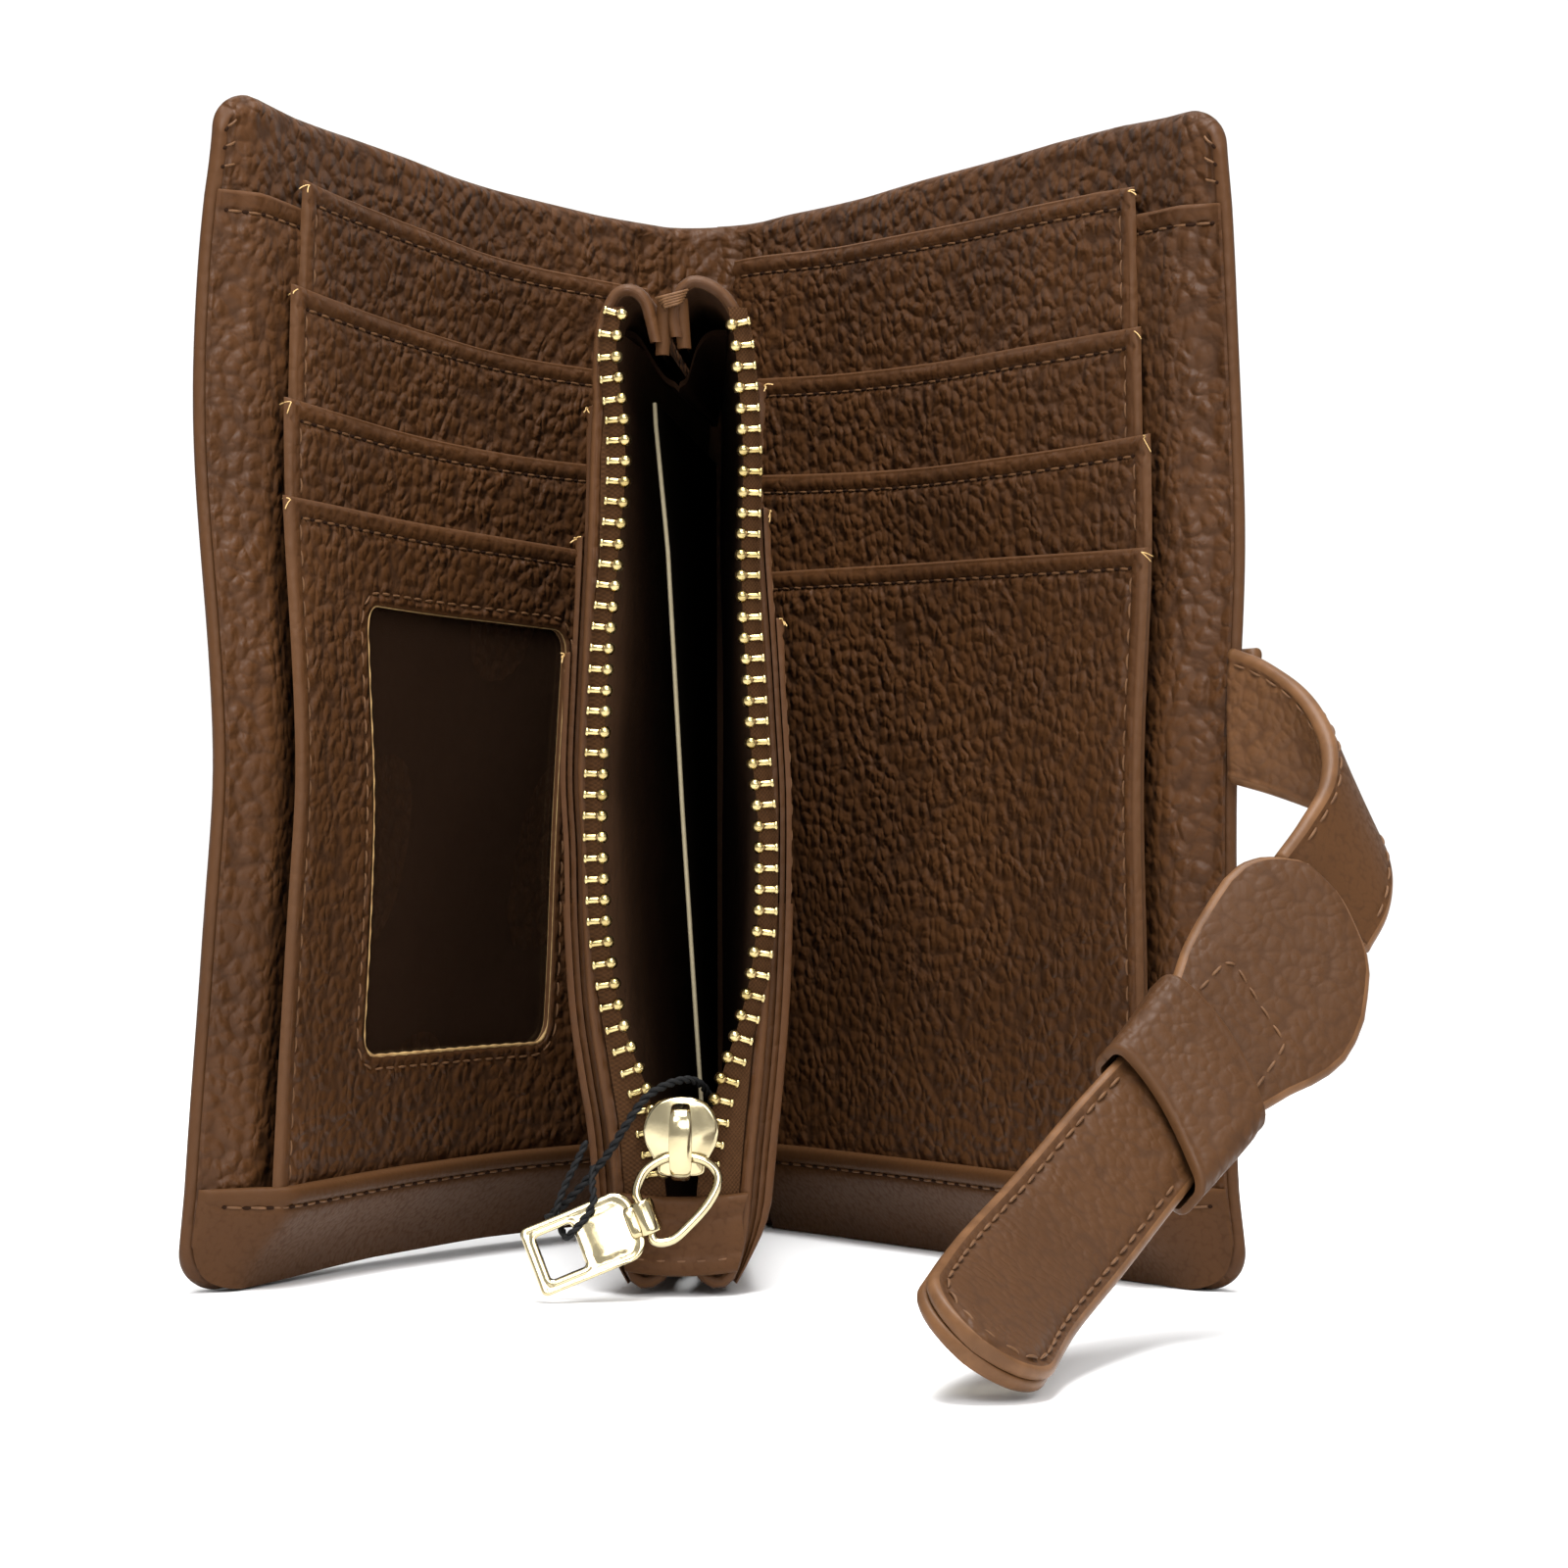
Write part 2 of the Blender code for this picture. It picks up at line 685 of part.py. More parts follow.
cells("strap_keeper", [KEEP0, (KEEP0 + KEEP1) / 2, KEEP1], KW, [-4.0, -3.3, 3.2, 4.0],
      lambda i, j, k: j != 1 or k != 1, keeper_place, LEATHER_M)
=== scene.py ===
import math

import bmesh
import bpy
import numpy as np
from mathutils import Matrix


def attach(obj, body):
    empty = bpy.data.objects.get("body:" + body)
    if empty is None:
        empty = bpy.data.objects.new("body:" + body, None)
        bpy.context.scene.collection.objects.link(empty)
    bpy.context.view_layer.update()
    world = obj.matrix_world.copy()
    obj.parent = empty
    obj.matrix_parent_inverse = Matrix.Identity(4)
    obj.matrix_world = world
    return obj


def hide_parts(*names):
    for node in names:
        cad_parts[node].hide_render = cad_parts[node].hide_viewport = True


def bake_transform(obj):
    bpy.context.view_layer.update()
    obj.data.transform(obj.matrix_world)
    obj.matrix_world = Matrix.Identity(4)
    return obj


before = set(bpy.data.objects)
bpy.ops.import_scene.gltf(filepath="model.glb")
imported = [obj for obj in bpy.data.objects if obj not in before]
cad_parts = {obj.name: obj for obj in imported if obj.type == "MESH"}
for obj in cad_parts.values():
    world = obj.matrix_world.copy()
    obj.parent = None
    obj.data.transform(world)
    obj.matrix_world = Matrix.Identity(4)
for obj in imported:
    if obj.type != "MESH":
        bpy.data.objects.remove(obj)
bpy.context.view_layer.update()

MM = 0.001
rng = np.random.default_rng(7)

# ------------------------------------------------------------------ stage first
scene = bpy.context.scene
EYE = (0.0094, -0.5805, 0.0514)
cam_data = bpy.data.cameras.new("camera")
cam_data.lens = 94.5
cam_data.sensor_width = 36.0
cam = bpy.data.objects.new("camera", cam_data)
cam.location = EYE
cam.rotation_euler = (math.radians(90 + 1.02), 0, 0)
scene.collection.objects.link(cam)
scene.camera = cam
scene.view_settings.view_transform = "Standard"
scene.view_settings.look = "None"

# the numbers that the CAD model was designed with, in millimetres
COVER_H, COVER_W, CORNER_R = 140.0, 106.5, 6.0
FOLD_X, FOLD_Y, RISE = 9.4, -2.9, 4.9
POCKET_X, FRONT_Y, BACK_Y = -2.6, -96.9, -6.4


# ------------------------------------------------------------------ materials
def socket(node, name, value):
    node.inputs[name].default_value = value


class Mat:
    """A node tree with short names for the few things that every material here needs."""

    def __init__(self, name):
        self.m = bpy.data.materials.new(name)
        self.m.use_nodes = True
        self.t = self.m.node_tree
        self.b = self.t.nodes["Principled BSDF"]
        self.coord = self.t.nodes.new("ShaderNodeTexCoord").outputs["Object"]

    def node(self, kind, **values):
        n = self.t.nodes.new(kind)
        for k, v in values.items():
            if k.startswith("_"):
                setattr(n, k[1:], v)
            else:
                n.inputs[k.replace("__", " ")].default_value = v
        return n

    def link(self, a, b):
        self.t.links.new(a, b)

    def math(self, op, a, b=None, c=None, clamp=False):
        n = self.t.nodes.new("ShaderNodeMath")
        n.operation, n.use_clamp = op, clamp
        for i, v in enumerate((a, b, c)):
            if v is None:
                continue
            if isinstance(v, (int, float)):
                n.inputs[i].default_value = v
            else:
                self.link(v, n.inputs[i])
        return n.outputs[0]

    def ramp(self, fac, lo, hi, a=0.0, b=1.0):
        n = self.t.nodes.new("ShaderNodeMapRange")
        n.interpolation_type = "SMOOTHSTEP"
        self.link(fac, n.inputs["Value"])
        for k, v in (("From Min", lo), ("From Max", hi), ("To Min", a), ("To Max", b)):
            n.inputs[k].default_value = v
        return n.outputs["Result"]

    def mix(self, fac, a, b, kind="MIX"):
        n = self.t.nodes.new("ShaderNodeMix")
        n.data_type, n.blend_type = "RGBA", kind
        for i, v in ((0, fac), (6, a), (7, b)):
            if isinstance(v, (int, float)):
                n.inputs[i].default_value = v
            elif isinstance(v, tuple):
                n.inputs[i].default_value = (*v, 1)
            else:
                self.link(v, n.inputs[i])
        return n.outputs[2]

    def noise(self, scale, detail=2.0, rough=0.5, vec=None):
        n = self.node("ShaderNodeTexNoise", Scale=scale, Detail=detail, Roughness=rough)
        self.link(vec or self.coord, n.inputs["Vector"])
        return n.outputs["Fac"]

    def warped(self, scale, amount):
        n = self.node("ShaderNodeTexNoise", Scale=scale, Detail=1.0)
        self.link(self.coord, n.inputs["Vector"])
        v = self.t.nodes.new("ShaderNodeVectorMath")
        v.operation = "MULTIPLY_ADD"
        self.link(n.outputs["Color"], v.inputs[0])
        v.inputs[1].default_value = (amount,) * 3
        self.link(self.coord, v.inputs[2])
        return v.outputs[0]

    def cells(self, scale, feature="DISTANCE_TO_EDGE", vec=None, random=1.0):
        n = self.node("ShaderNodeTexVoronoi", Scale=scale, _feature=feature)
        n.inputs["Randomness"].default_value = random
        self.link(vec or self.coord, n.inputs["Vector"])
        return n.outputs["Distance"]

    def domes(self, scale, vec):
        """Distance from the middle of soft-edged cells: low on the pebbles, high in the creases."""
        n = self.node("ShaderNodeTexVoronoi", Scale=scale, _feature="SMOOTH_F1")
        n.inputs["Smoothness"].default_value = 0.28
        n.inputs["Randomness"].default_value = 0.92
        self.link(vec, n.inputs["Vector"])
        return n.outputs["Distance"]

    def attribute(self, name):
        n = self.t.nodes.new("ShaderNodeAttribute")
        n.attribute_name = name
        return n.outputs["Fac"]

    def bump(self, height, strength, distance, below=None):
        n = self.node("ShaderNodeBump", Strength=strength, Distance=distance)
        self.link(height, n.inputs["Height"])
        if below is not None:
            self.link(below, n.inputs["Normal"])
        return n.outputs["Normal"]


def leather(name, base, crease_shade_and_tone, edge, grain=540.0, depth=0.00085, rough=0.46, strength=0.85,
            fine=0.05, patch=0.18, spec=0.13):
    """Pebbled leather: rounded cells with creases between them, painted shade in the creases, finer wrinkles over them,
    slow changes of colour, and a painted highlight where the edge attribute is high at a turned edge, where the grain
    is also smoothed."""
    m = Mat(name)
    vec = m.warped(260.0, 0.0016)
    d1 = m.domes(grain, vec)
    d2 = m.domes(grain * 2.3, vec)
    pebble = m.ramp(d1, 0.10, 0.86, 1.0, 0.0)
    small = m.ramp(d2, 0.10, 0.86, 1.0, 0.0)
    which = m.noise(150.0, 2.0)
    height = m.math("ADD", m.math("MULTIPLY", pebble, 1.0), m.math("MULTIPLY", small, 0.16))
    height = m.math("ADD", height, m.math("MULTIPLY", m.noise(grain * 5, 2.0), fine))
    calm = m.ramp(which, 0.34, 0.66, 0.50, 1.0)
    rim_smooth_and_highlight = m.attribute("edge")
    calm = m.math("MULTIPLY", calm, m.math("SUBTRACT", 1.0, m.math("MULTIPLY", m.math("MULTIPLY", rim_smooth_and_highlight, 2.4, clamp=True), 0.82)))
    height = m.math("MULTIPLY", height, calm)
    slow = m.bump(m.noise(85.0, 3.0), 0.30, 0.0009)
    m.link(m.bump(height, strength, depth, slow), m.b.inputs["Normal"])
    tone = m.ramp(m.noise(38.0, 3.0), 0.3, 0.7, -patch, patch)
    # painted shade: the creases between the pebbles are coloured darker
    line = m.math("MULTIPLY", m.ramp(d1, 0.50, 0.90), 0.75)
    mid = m.mix(m.math("MULTIPLY", line, m.ramp(rim_smooth_and_highlight, 0.05, 0.30, 1.0, 0.0)), base, crease_shade_and_tone)
    mid = m.mix(m.ramp(tone, -0.2, 0.2, 0.0, 1.0), m.mix(0.40, mid, crease_shade_and_tone), mid)
    # painted highlight: where the edge attribute is high, at the very rim of turned edges, the colour goes paler
    mid = m.mix(m.ramp(rim_smooth_and_highlight, 0.30, 0.95, 0.0, 0.75), mid, edge)
    m.link(mid, m.b.inputs["Base Color"])
    r = m.ramp(d1, 0.35, 0.85, rough, rough + 0.16)
    m.link(m.math("ADD", r, m.math("MULTIPLY", m.noise(900.0, 2.0), 0.08)), m.b.inputs["Roughness"])
    socket(m.b, "Specular IOR Level", spec)
    return m.m


BASE = (0.054, 0.0212, 0.0066)
# darker colour for the painted shade in the pebbles' creases, also used for random darker patches
CREASE_SHADE_AND_TONE = (0.026, 0.0102, 0.0034)
# paler colour of the painted highlight along turned edges
EDGE_HIGHLIGHT = (0.082, 0.036, 0.0134)
pebbled = leather("pebbled_leather", BASE, CREASE_SHADE_AND_TONE, EDGE_HIGHLIGHT)
pebbled_far = leather("pebbled_leather_panel", BASE, CREASE_SHADE_AND_TONE, EDGE_HIGHLIGHT, grain=580.0)
strapped = leather("strap_leather", (0.052, 0.0218, 0.0077), (0.036, 0.0148, 0.0052), EDGE_HIGHLIGHT,
                   grain=760.0, depth=0.00026, strength=0.7, spec=0.13)
strap_peb = leather("strap_leather_pebbled", (0.094, 0.0420, 0.0170), (0.056, 0.0235, 0.0090), EDGE_HIGHLIGHT,
                    grain=640.0, depth=0.00036, spec=0.14)
smooth_l = leather("smooth_leather", (0.056, 0.0235, 0.0082), (0.040, 0.0165, 0.0058), EDGE_HIGHLIGHT,
                   grain=1500.0, depth=0.00006, rough=0.46, strength=0.5, fine=0.15, spec=0.09)


def simple(name, base, rough, metal=0.0, grain=None, depth=0.0001, tone=None, spec=0.5):
    m = Mat(name)
    socket(m.b, "Roughness", rough)
    socket(m.b, "Metallic", metal)
    socket(m.b, "Specular IOR Level", spec)
    if tone:
        m.link(m.mix(m.ramp(m.noise(tone[0], 3.0), 0.3, 0.7), base, tone[1]), m.b.inputs["Base Color"])
    else:
        m.b.inputs["Base Color"].default_value = (*base, 1)
    if grain:
        m.link(m.bump(m.noise(grain, 3.0, 0.6), 0.6, depth), m.b.inputs["Normal"])
    return m.m


edge_paint = simple("edge_paint", (0.120, 0.056, 0.023), 0.45, grain=900.0, depth=0.00006,
                    tone=(260.0, (0.078, 0.035, 0.0135)), spec=0.15)
raw_edge = simple("raw_edge", (0.40, 0.26, 0.10), 0.7, grain=1500.0, tone=(700.0, (0.24, 0.13, 0.045)))
thread_m = simple("sewing_thread", (0.074, 0.033, 0.0125), 0.6, grain=6000.0, depth=0.00005,
                  tone=(900.0, (0.110, 0.052, 0.021)), spec=0.2)
# dark marks between the stitches: painted shade inside the stitch holes
hole_shade_m = simple("stitch_hole_shade", (0.014, 0.0060, 0.0030), 0.9, spec=0.05)
tail_m = simple("thread_tail", (0.50, 0.32, 0.12), 0.5)
dark_m = simple("shadow_board", (0.012, 0.006, 0.004), 0.9)


def fabric(name, a, b, scale, depth=0.0001, sheen=0.25, spec=0.08):
    """A plain weave: two crossed waves of threads."""
    m = Mat(name)
    sep = m.t.nodes.new("ShaderNodeSeparateXYZ")
    m.link(m.coord, sep.inputs[0])
    s1 = m.math("SINE", m.math("MULTIPLY", m.math("ADD", sep.outputs["Y"], sep.outputs["X"]), scale))
    s2 = m.math("SINE", m.math("MULTIPLY", sep.outputs["Z"], scale))
    w = m.math("MULTIPLY_ADD", m.math("MULTIPLY", s1, s2), 0.5, 0.5)
    m.link(m.bump(w, 0.7, depth), m.b.inputs["Normal"])
    fac = m.math("ADD", m.math("MULTIPLY", w, 0.6), m.math("MULTIPLY", m.noise(700.0, 3.0), 0.4))
    m.link(m.mix(fac, a, b), m.b.inputs["Base Color"])
    socket(m.b, "Roughness", 0.85)
    socket(m.b, "Specular IOR Level", spec)
    socket(m.b, "Sheen Weight", sheen)
    socket(m.b, "Sheen Roughness", 0.5)
    return m.m


lining_m = simple("lining_fabric", (0.085, 0.040, 0.0185), 0.75, grain=420.0, depth=0.0004,
                  tone=(60.0, (0.055, 0.0255, 0.0120)), spec=0.12)
tape_m = fabric("zip_tape", (0.022, 0.0092, 0.0034), (0.060, 0.026, 0.0094), 11000.0, sheen=0.0)
# nearly black leather: painted shade of the gusset deep between the arches
gusset_shade_m = simple("gusset_leather_shade", (0.011, 0.0048, 0.0022), 0.85, grain=700.0, depth=0.0002, spec=0.03)
divider_m = simple("divider_fabric", (0.006, 0.0045, 0.0032), 0.95, spec=0.0)
olive_m = simple("divider_edge", (0.26, 0.22, 0.14), 0.75, grain=2500.0, tone=(900.0, (0.24, 0.20, 0.12)))


def metal(name, base, dark, rough):
    m = Mat(name)
    socket(m.b, "Metallic", 1.0)
    scratch = m.noise(420.0, 4.0, 0.6)
    m.link(m.ramp(scratch, 0.3, 0.75, rough * 0.75, rough * 1.5), m.b.inputs["Roughness"])
    m.link(m.mix(m.ramp(m.noise(180.0, 3.0), 0.35, 0.75), base, dark), m.b.inputs["Base Color"])
    m.link(m.bump(m.noise(2600.0, 3.0), 0.10, 0.00004), m.b.inputs["Normal"])
    return m.m


brass_m = metal("zip_brass", (0.50, 0.40, 0.19), (0.30, 0.22, 0.08), 0.22)
# darker brass for the dimple: painted shade of its hollow
brass_dimple_shade = metal("zip_brass_dimple_shade", (0.16, 0.10, 0.04), (0.10, 0.06, 0.025), 0.35)
gold_m = metal("pale_gold", (0.52, 0.445, 0.275), (0.44, 0.365, 0.21), 0.16)
steel_m = metal("snap_metal", (0.62, 0.55, 0.42), (0.50, 0.44, 0.33), 0.28)

# the film is dark and mostly opaque: painted shade of the pocket seen through the window
film = Mat("clear_film")
film.b.inputs["Base Color"].default_value = (0.018, 0.0095, 0.0055, 1)
socket(film.b, "Roughness", 0.14)
socket(film.b, "Specular IOR Level", 0.30)
socket(film.b, "Alpha", 0.72)
film.link(film.bump(film.noise(46.0, 2.0), 0.5, 0.0011), film.b.inputs["Normal"])
film_m = film.m

black = Mat("black_thread")
black.b.inputs["Base Color"].default_value = (0.0035, 0.0035, 0.0038, 1)
socket(black.b, "Roughness", 0.7)
socket(black.b, "Specular IOR Level", 0.2)
black.link(black.bump(black.noise(5000.0, 3.0), 0.7, 0.0001), black.b.inputs["Normal"])
black_m = black.m


# ------------------------------------------------------------------ mesh tools
def build(name, verts, faces, mats, body, face_mats=None, edge=None, fix=True, angle=None):
    """One mesh object from points in millimetres."""
    me = bpy.data.meshes.new(name)
    me.from_pydata((np.asarray(verts, float) * MM).tolist(), [], [list(map(int, f)) for f in faces])
    for m in mats if isinstance(mats, (list, tuple)) else [mats]:
        me.materials.append(m)
    if face_mats is not None:
        me.polygons.foreach_set("material_index", np.asarray(face_mats, np.int32))
    a = me.attributes.new("edge", "FLOAT", "POINT")
    a.data.foreach_set("value", np.zeros(len(me.vertices), np.float32) if edge is None
                       else np.clip(np.asarray(edge, np.float32), 0, 1))
    if fix:
        bm = bmesh.new()
        bm.from_mesh(me)
        bmesh.ops.recalc_face_normals(bm, faces=bm.faces)
        bm.to_mesh(me)
        bm.free()
    me.shade_smooth()
    if angle:
        me.set_sharp_from_angle(angle=math.radians(angle))
    o = bpy.data.objects.new(name, me)
    scene.collection.objects.link(o)
    if body:
        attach(o, body)
    return o


def grid_faces(nu, nv, base=0, wrap=False, flip=False):
    i, j = np.meshgrid(np.arange(nu if wrap else nu - 1), np.arange(nv - 1), indexing="ij")
    i, j = i.ravel(), j.ravel()
    k = (i + 1) % nu
    f = np.stack([i * nv + j, k * nv + j, k * nv + j + 1, i * nv + j + 1], 1) + base
    return f[:, ::-1] if flip else f


def slab(front, back, wrap=False, ends=True):
    """Closed body between two grids of points of one shape (nu, nv, 3)."""
    nu, nv = front.shape[:2]
    verts = np.concatenate([front.reshape(-1, 3), back.reshape(-1, 3)])
    n = nu * nv
    faces = [grid_faces(nu, nv, 0, wrap), grid_faces(nu, nv, n, wrap, True)]

    def wall(idx, flip):
        a, b = np.array(idx[:-1]), np.array(idx[1:])
        q = np.stack([a, b, b + n, a + n], 1)
        return q[:, ::-1] if flip else q

    ring = list(range(nu)) + ([0] if wrap else [])
    faces.append(wall([i * nv for i in ring], True))
    faces.append(wall([i * nv + nv - 1 for i in ring], False))
    if not wrap:
        faces.append(wall(list(range(nv)), False))
        faces.append(wall([(nu - 1) * nv + j for j in range(nv)], True))
    return verts, np.concatenate(faces)


def smooth(t):
    t = np.clip(t, 0, 1)
    return t * t * (3 - 2 * t)


FINE = np.array([0, .06, .16, .32, .55, .85, 1.2, 1.6, 1.95, 2.2, 2.45, 2.7, 3.0, 3.6, 4.6, 6.0])


def stations(a, b, at_a=True, at_b=True, step=2.4, extra=()):
    out = set()
    if at_a:
        out |= set(a + FINE)
    if at_b:
        out |= set(b - FINE)
    lo, hi = a + (6.0 if at_a else 0), b - (6.0 if at_b else 0)
    out |= set(np.linspace(lo, hi, max(2, int(round((hi - lo) / step)) + 1)))
    out |= set(extra)
    s = np.array(sorted(x for x in out if a - 1e-9 <= x <= b + 1e-9))
    return s[np.concatenate([[True], np.diff(s) > 1e-4])]


def turned(d, high=1.05, body=0.85, r=0.75, at=2.45, deep=0.38, wide=0.42, settle=5.0, puff=0.16):
    """Height of a turned and stitched edge above the panel's back, at a distance d from it."""
    e = high * np.sqrt(np.clip(1 - (1 - np.clip(d / r, 0, 1)) ** 2, 0, 1))
    t = smooth((d - 1.2) / (settle - 1.2))
    swell = puff * np.exp(-(((d - at - 2.6) / 1.9) ** 2))
    return e * (1 - t) + body * t - deep * np.exp(-(((d - at) / wide) ** 2)) + swell


def rim_mark(d):
    """How much a point at a distance d from a turned edge has smoothed grain; at the very rim it also gets a painted
    highlight.
    """
    return 0.30 * (1 - smooth((d - 1.9) / 0.6)) + 0.38 * np.exp(-((d / 0.5) ** 2))


def catmull(pts, count, closed=False):
    p = np.array(pts, float)
    if closed:
        q = np.concatenate([p[-1:], p, p[:2]])
    else:
        q = np.concatenate([2 * p[:1] - p[1:2], p, 2 * p[-1:] - p[-2:-1]])
    spans = len(q) - 3
    s = np.linspace(0, spans, count, endpoint=not closed)
    k = np.minimum(s.astype(int), spans - 1)
    t = (s - k)[:, None]
    a, b, c, d = q[k], q[k + 1], q[k + 2], q[k + 3]
    return 0.5 * (2 * b + (c - a) * t + (2 * a - 5 * b + 4 * c - d) * t**2 + (3 * b - a - 3 * c + d) * t**3)


def unit(v):
    return v / np.maximum(np.linalg.norm(v, axis=-1, keepdims=True), 1e-12)


class Buffer:
    """Many small closed pieces gathered into one object."""

    def __init__(self):
        self.v, self.f, self.n, self.m = [], [], 0, []

    def add(self, v, f, mat=0):
        self.v.append(np.asarray(v, float))
        self.f += [tuple(int(i) + self.n for i in q) for q in f]
        self.m += [mat] * len(f)
        self.n += len(v)

    def make(self, name, mats, body, slot, fix=False, angle=None):
        if not self.v:
            return None
        return build(name, np.concatenate(self.v), self.f, mats, body,
                     face_mats=self.m, fix=fix, angle=angle)


def tube(pts, radius, sides=8, closed=False, squash=None):
    """Verts and faces of a tube through pts; radius is one number or one for each point."""
    p = np.array(pts, float)
    n = len(p)
    r = np.broadcast_to(np.asarray(radius, float), (n,))
    if closed:
        tan = unit(np.roll(p, -1, 0) - np.roll(p, 1, 0))
    else:
        tan = unit(np.gradient(p, axis=0))
    ref = np.array([0, 0, 1.0]) if abs(tan[0][2]) < 0.9 else np.array([1.0, 0, 0])
    nrm = unit(np.cross(tan[0], ref))
    frames = [nrm]
    for i in range(1, n):
        nrm = frames[-1] - tan[i] * frames[-1].dot(tan[i])
        frames.append(nrm / np.linalg.norm(nrm))
    nr = np.array(frames)
    bn = np.cross(tan, nr)
    th = np.linspace(0, 2 * math.pi, sides, endpoint=False)
    ring = nr[:, None] * np.cos(th)[None, :, None] + bn[:, None] * np.sin(th)[None, :, None]
    v = (p[:, None] + ring * r[:, None, None]).reshape(-1, 3)
    f = []
    for i in range(n if closed else n - 1):
        for k in range(sides):
            j, m = (i + 1) % n, (k + 1) % sides
            f.append((i * sides + k, i * sides + m, j * sides + m, j * sides + k))
    if not closed:
        f.append(tuple(range(sides))[::-1])
        f.append(tuple(range((n - 1) * sides, n * sides)))
    return v, f


def capsule(p0, p1, up, r=0.21, lift=0.10):
    """One stitch: a short thread that dips into its two holes."""
    t = np.array([0, .10, .28, .5, .72, .90, 1.0])
    w = np.array([.35, .80, 1.0, 1.05, 1.0, .80, .35]) * r
    h = np.array([-.20, -.04, .06, .10, .06, -.04, -.20]) * (lift / 0.10)
    p = p0[None] * (1 - t)[:, None] + p1[None] * t[:, None] + up[None] * h[:, None]
    a = unit(p1 - p0)
    s = unit(np.cross(a, up))
    th = np.linspace(0, 2 * math.pi, 6, endpoint=False)
    ring = s[None] * np.cos(th)[:, None] + up[None] * np.sin(th)[:, None]
    v = (p[:, None] + ring[None] * w[:, None, None]).reshape(-1, 3)
    f = [(i * 6 + k, i * 6 + (k + 1) % 6, (i + 1) * 6 + (k + 1) % 6, (i + 1) * 6 + k)
         for i in range(6) for k in range(6)]
    f += [tuple(range(6))[::-1], tuple(range(36, 42))]
    return v, f


def sew(buf, path, normals, pitch=3.0, length=2.15, r=0.165, lift=0.09, jitter=0.05, hole_shades=None):
    """Stitches along a path of points on a surface with that normal, and dark marks between them: painted shade of the
    stitch holes.
    """
    path, normals = np.array(path, float), np.array(normals, float)
    s = np.concatenate([[0], np.cumsum(np.linalg.norm(np.diff(path, axis=0), axis=1))])
    count = max(1, int(round(s[-1] / pitch)))
    step = s[-1] / count
    for i in range(count):
        a = i * step + (step - length) / 2 + rng.normal(0, jitter)
        q = [np.array([np.interp(x, s, path[:, k]) for k in range(3)]) for x in (a, a + length)]
        up = unit(np.array([np.interp(a + length / 2, s, normals[:, k]) for k in range(3)]))
        side = unit(np.cross(unit(q[1] - q[0]), up)) * rng.normal(0, 0.03)
        buf.add(*capsule(q[0] + side, q[1] - side, up, r, lift))
        if hole_shades is not None:
            gap = [np.array([np.interp(x, s, path[:, k]) for k in range(3)])
                   for x in (a + length - 0.10, a + length + (step - length) + 0.10)]
            hole_shades.add(*capsule(gap[0] + up * 0.02, gap[1] + up * 0.02, up, 0.21, 0.02))


def tail(buf, at, direction, droop=(0, 0, -1), length=2.2, r=0.07):
    """A cut thread end that curls away."""
    d, g = unit(np.array(direction, float)), np.array(droop, float)
    s = np.linspace(0, 1, 9)[:, None]
    side = unit(np.cross(d, g) + 1e-6) * rng.normal(0, 0.5)
    pts = np.array(at, float) + d * s * length + g * (s**2) * length * 0.5 + side * s**2
    buf.add(*tube(pts, r, 5))


def superball(center, ax, ay, az, e=0.35, nu=14, nv=9):
    """A box with rounded edges; ax, ay, az are its half axes as vectors."""
    th = np.linspace(0, 2 * math.pi, nu, endpoint=False)
    ph = np.linspace(-math.pi / 2, math.pi / 2, nv)[1:-1]
    sp = lambda x: np.sign(x) * np.abs(x) ** e
    v = [center - np.array(az)]
    for p in ph:
        for t in th:
            v.append(center + ax * sp(math.cos(p)) * sp(math.cos(t)) + ay * sp(math.cos(p)) * sp(math.sin(t)) + az * sp(math.sin(p)))
    v.append(center + np.array(az))
    f = [(0, 1 + (k + 1) % nu, 1 + k) for k in range(nu)]
    m = len(ph)
    for i in range(m - 1):
        for k in range(nu):
            a, b = 1 + i * nu + k, 1 + i * nu + (k + 1) % nu
            f.append((a, b, b + nu, a + nu))
    top = 1 + m * nu
    f += [(top, top - nu + k, top - nu + (k + 1) % nu) for k in range(nu)]
    return np.array(v), f


# ------------------------------------------------------------------ the covers' shape
def fold_angle(side, u):
    t = np.clip(np.asarray(u, float) / COVER_W, 0, 1)
    return 17.5 + 19.5 * (1 - t) ** 1.2 if side < 0 else 33.5 - 7.8 * t


STEP = 0.5
PATHS = {}
for side in (-1, 1):
    x, y, path = side * FOLD_X, FOLD_Y, []
    for i in range(int(COVER_W / STEP) + 40):
        path.append((x, y))
        a = math.radians(float(fold_angle(side, (i + 0.5) * STEP)))
        x += side * math.sin(a) * STEP
        y -= math.cos(a) * STEP
    a = math.radians(float(fold_angle(side, 0.0)))
    before = [(side * FOLD_X - side * math.sin(a) * STEP * k, FOLD_Y + math.cos(a) * STEP * k) for k in range(28, 0, -1)]
    PATHS[side] = np.array(before + path)

# outer ends of the pockets on each cover, from the rearmost to the front one
ENDS = {-1: (92.8, 96.0, 98.4, 100.9), 1: (92.5, 94.6, 97.6, 98.6)}

# how far the outer edge leans in (+) or out (-) at each height
LEAN = {
    -1: ([0, 8, 15, 25, 35, 45, 60, 77, 90, 100, 108, 117, 125, 133, 140],
         [-6.7, -6.2, -5.7, -4.6, -3.4, -2.7, -1.9, -2.9, -3.8, -4.4, -4.6, -4.3, -3.7, -2.3, -1.8]),
    1: ([0, 8, 14, 20, 35, 55, 77, 88, 94.5, 100, 106, 123, 129, 133, 140],
        [-2.9, -2.2, -1.65, -1.5, -1.4, -1.8, -2.65, -2.8, -2.5, -2.35, -2.2, -2.0, -1.55, -1.3, -0.4]),
}
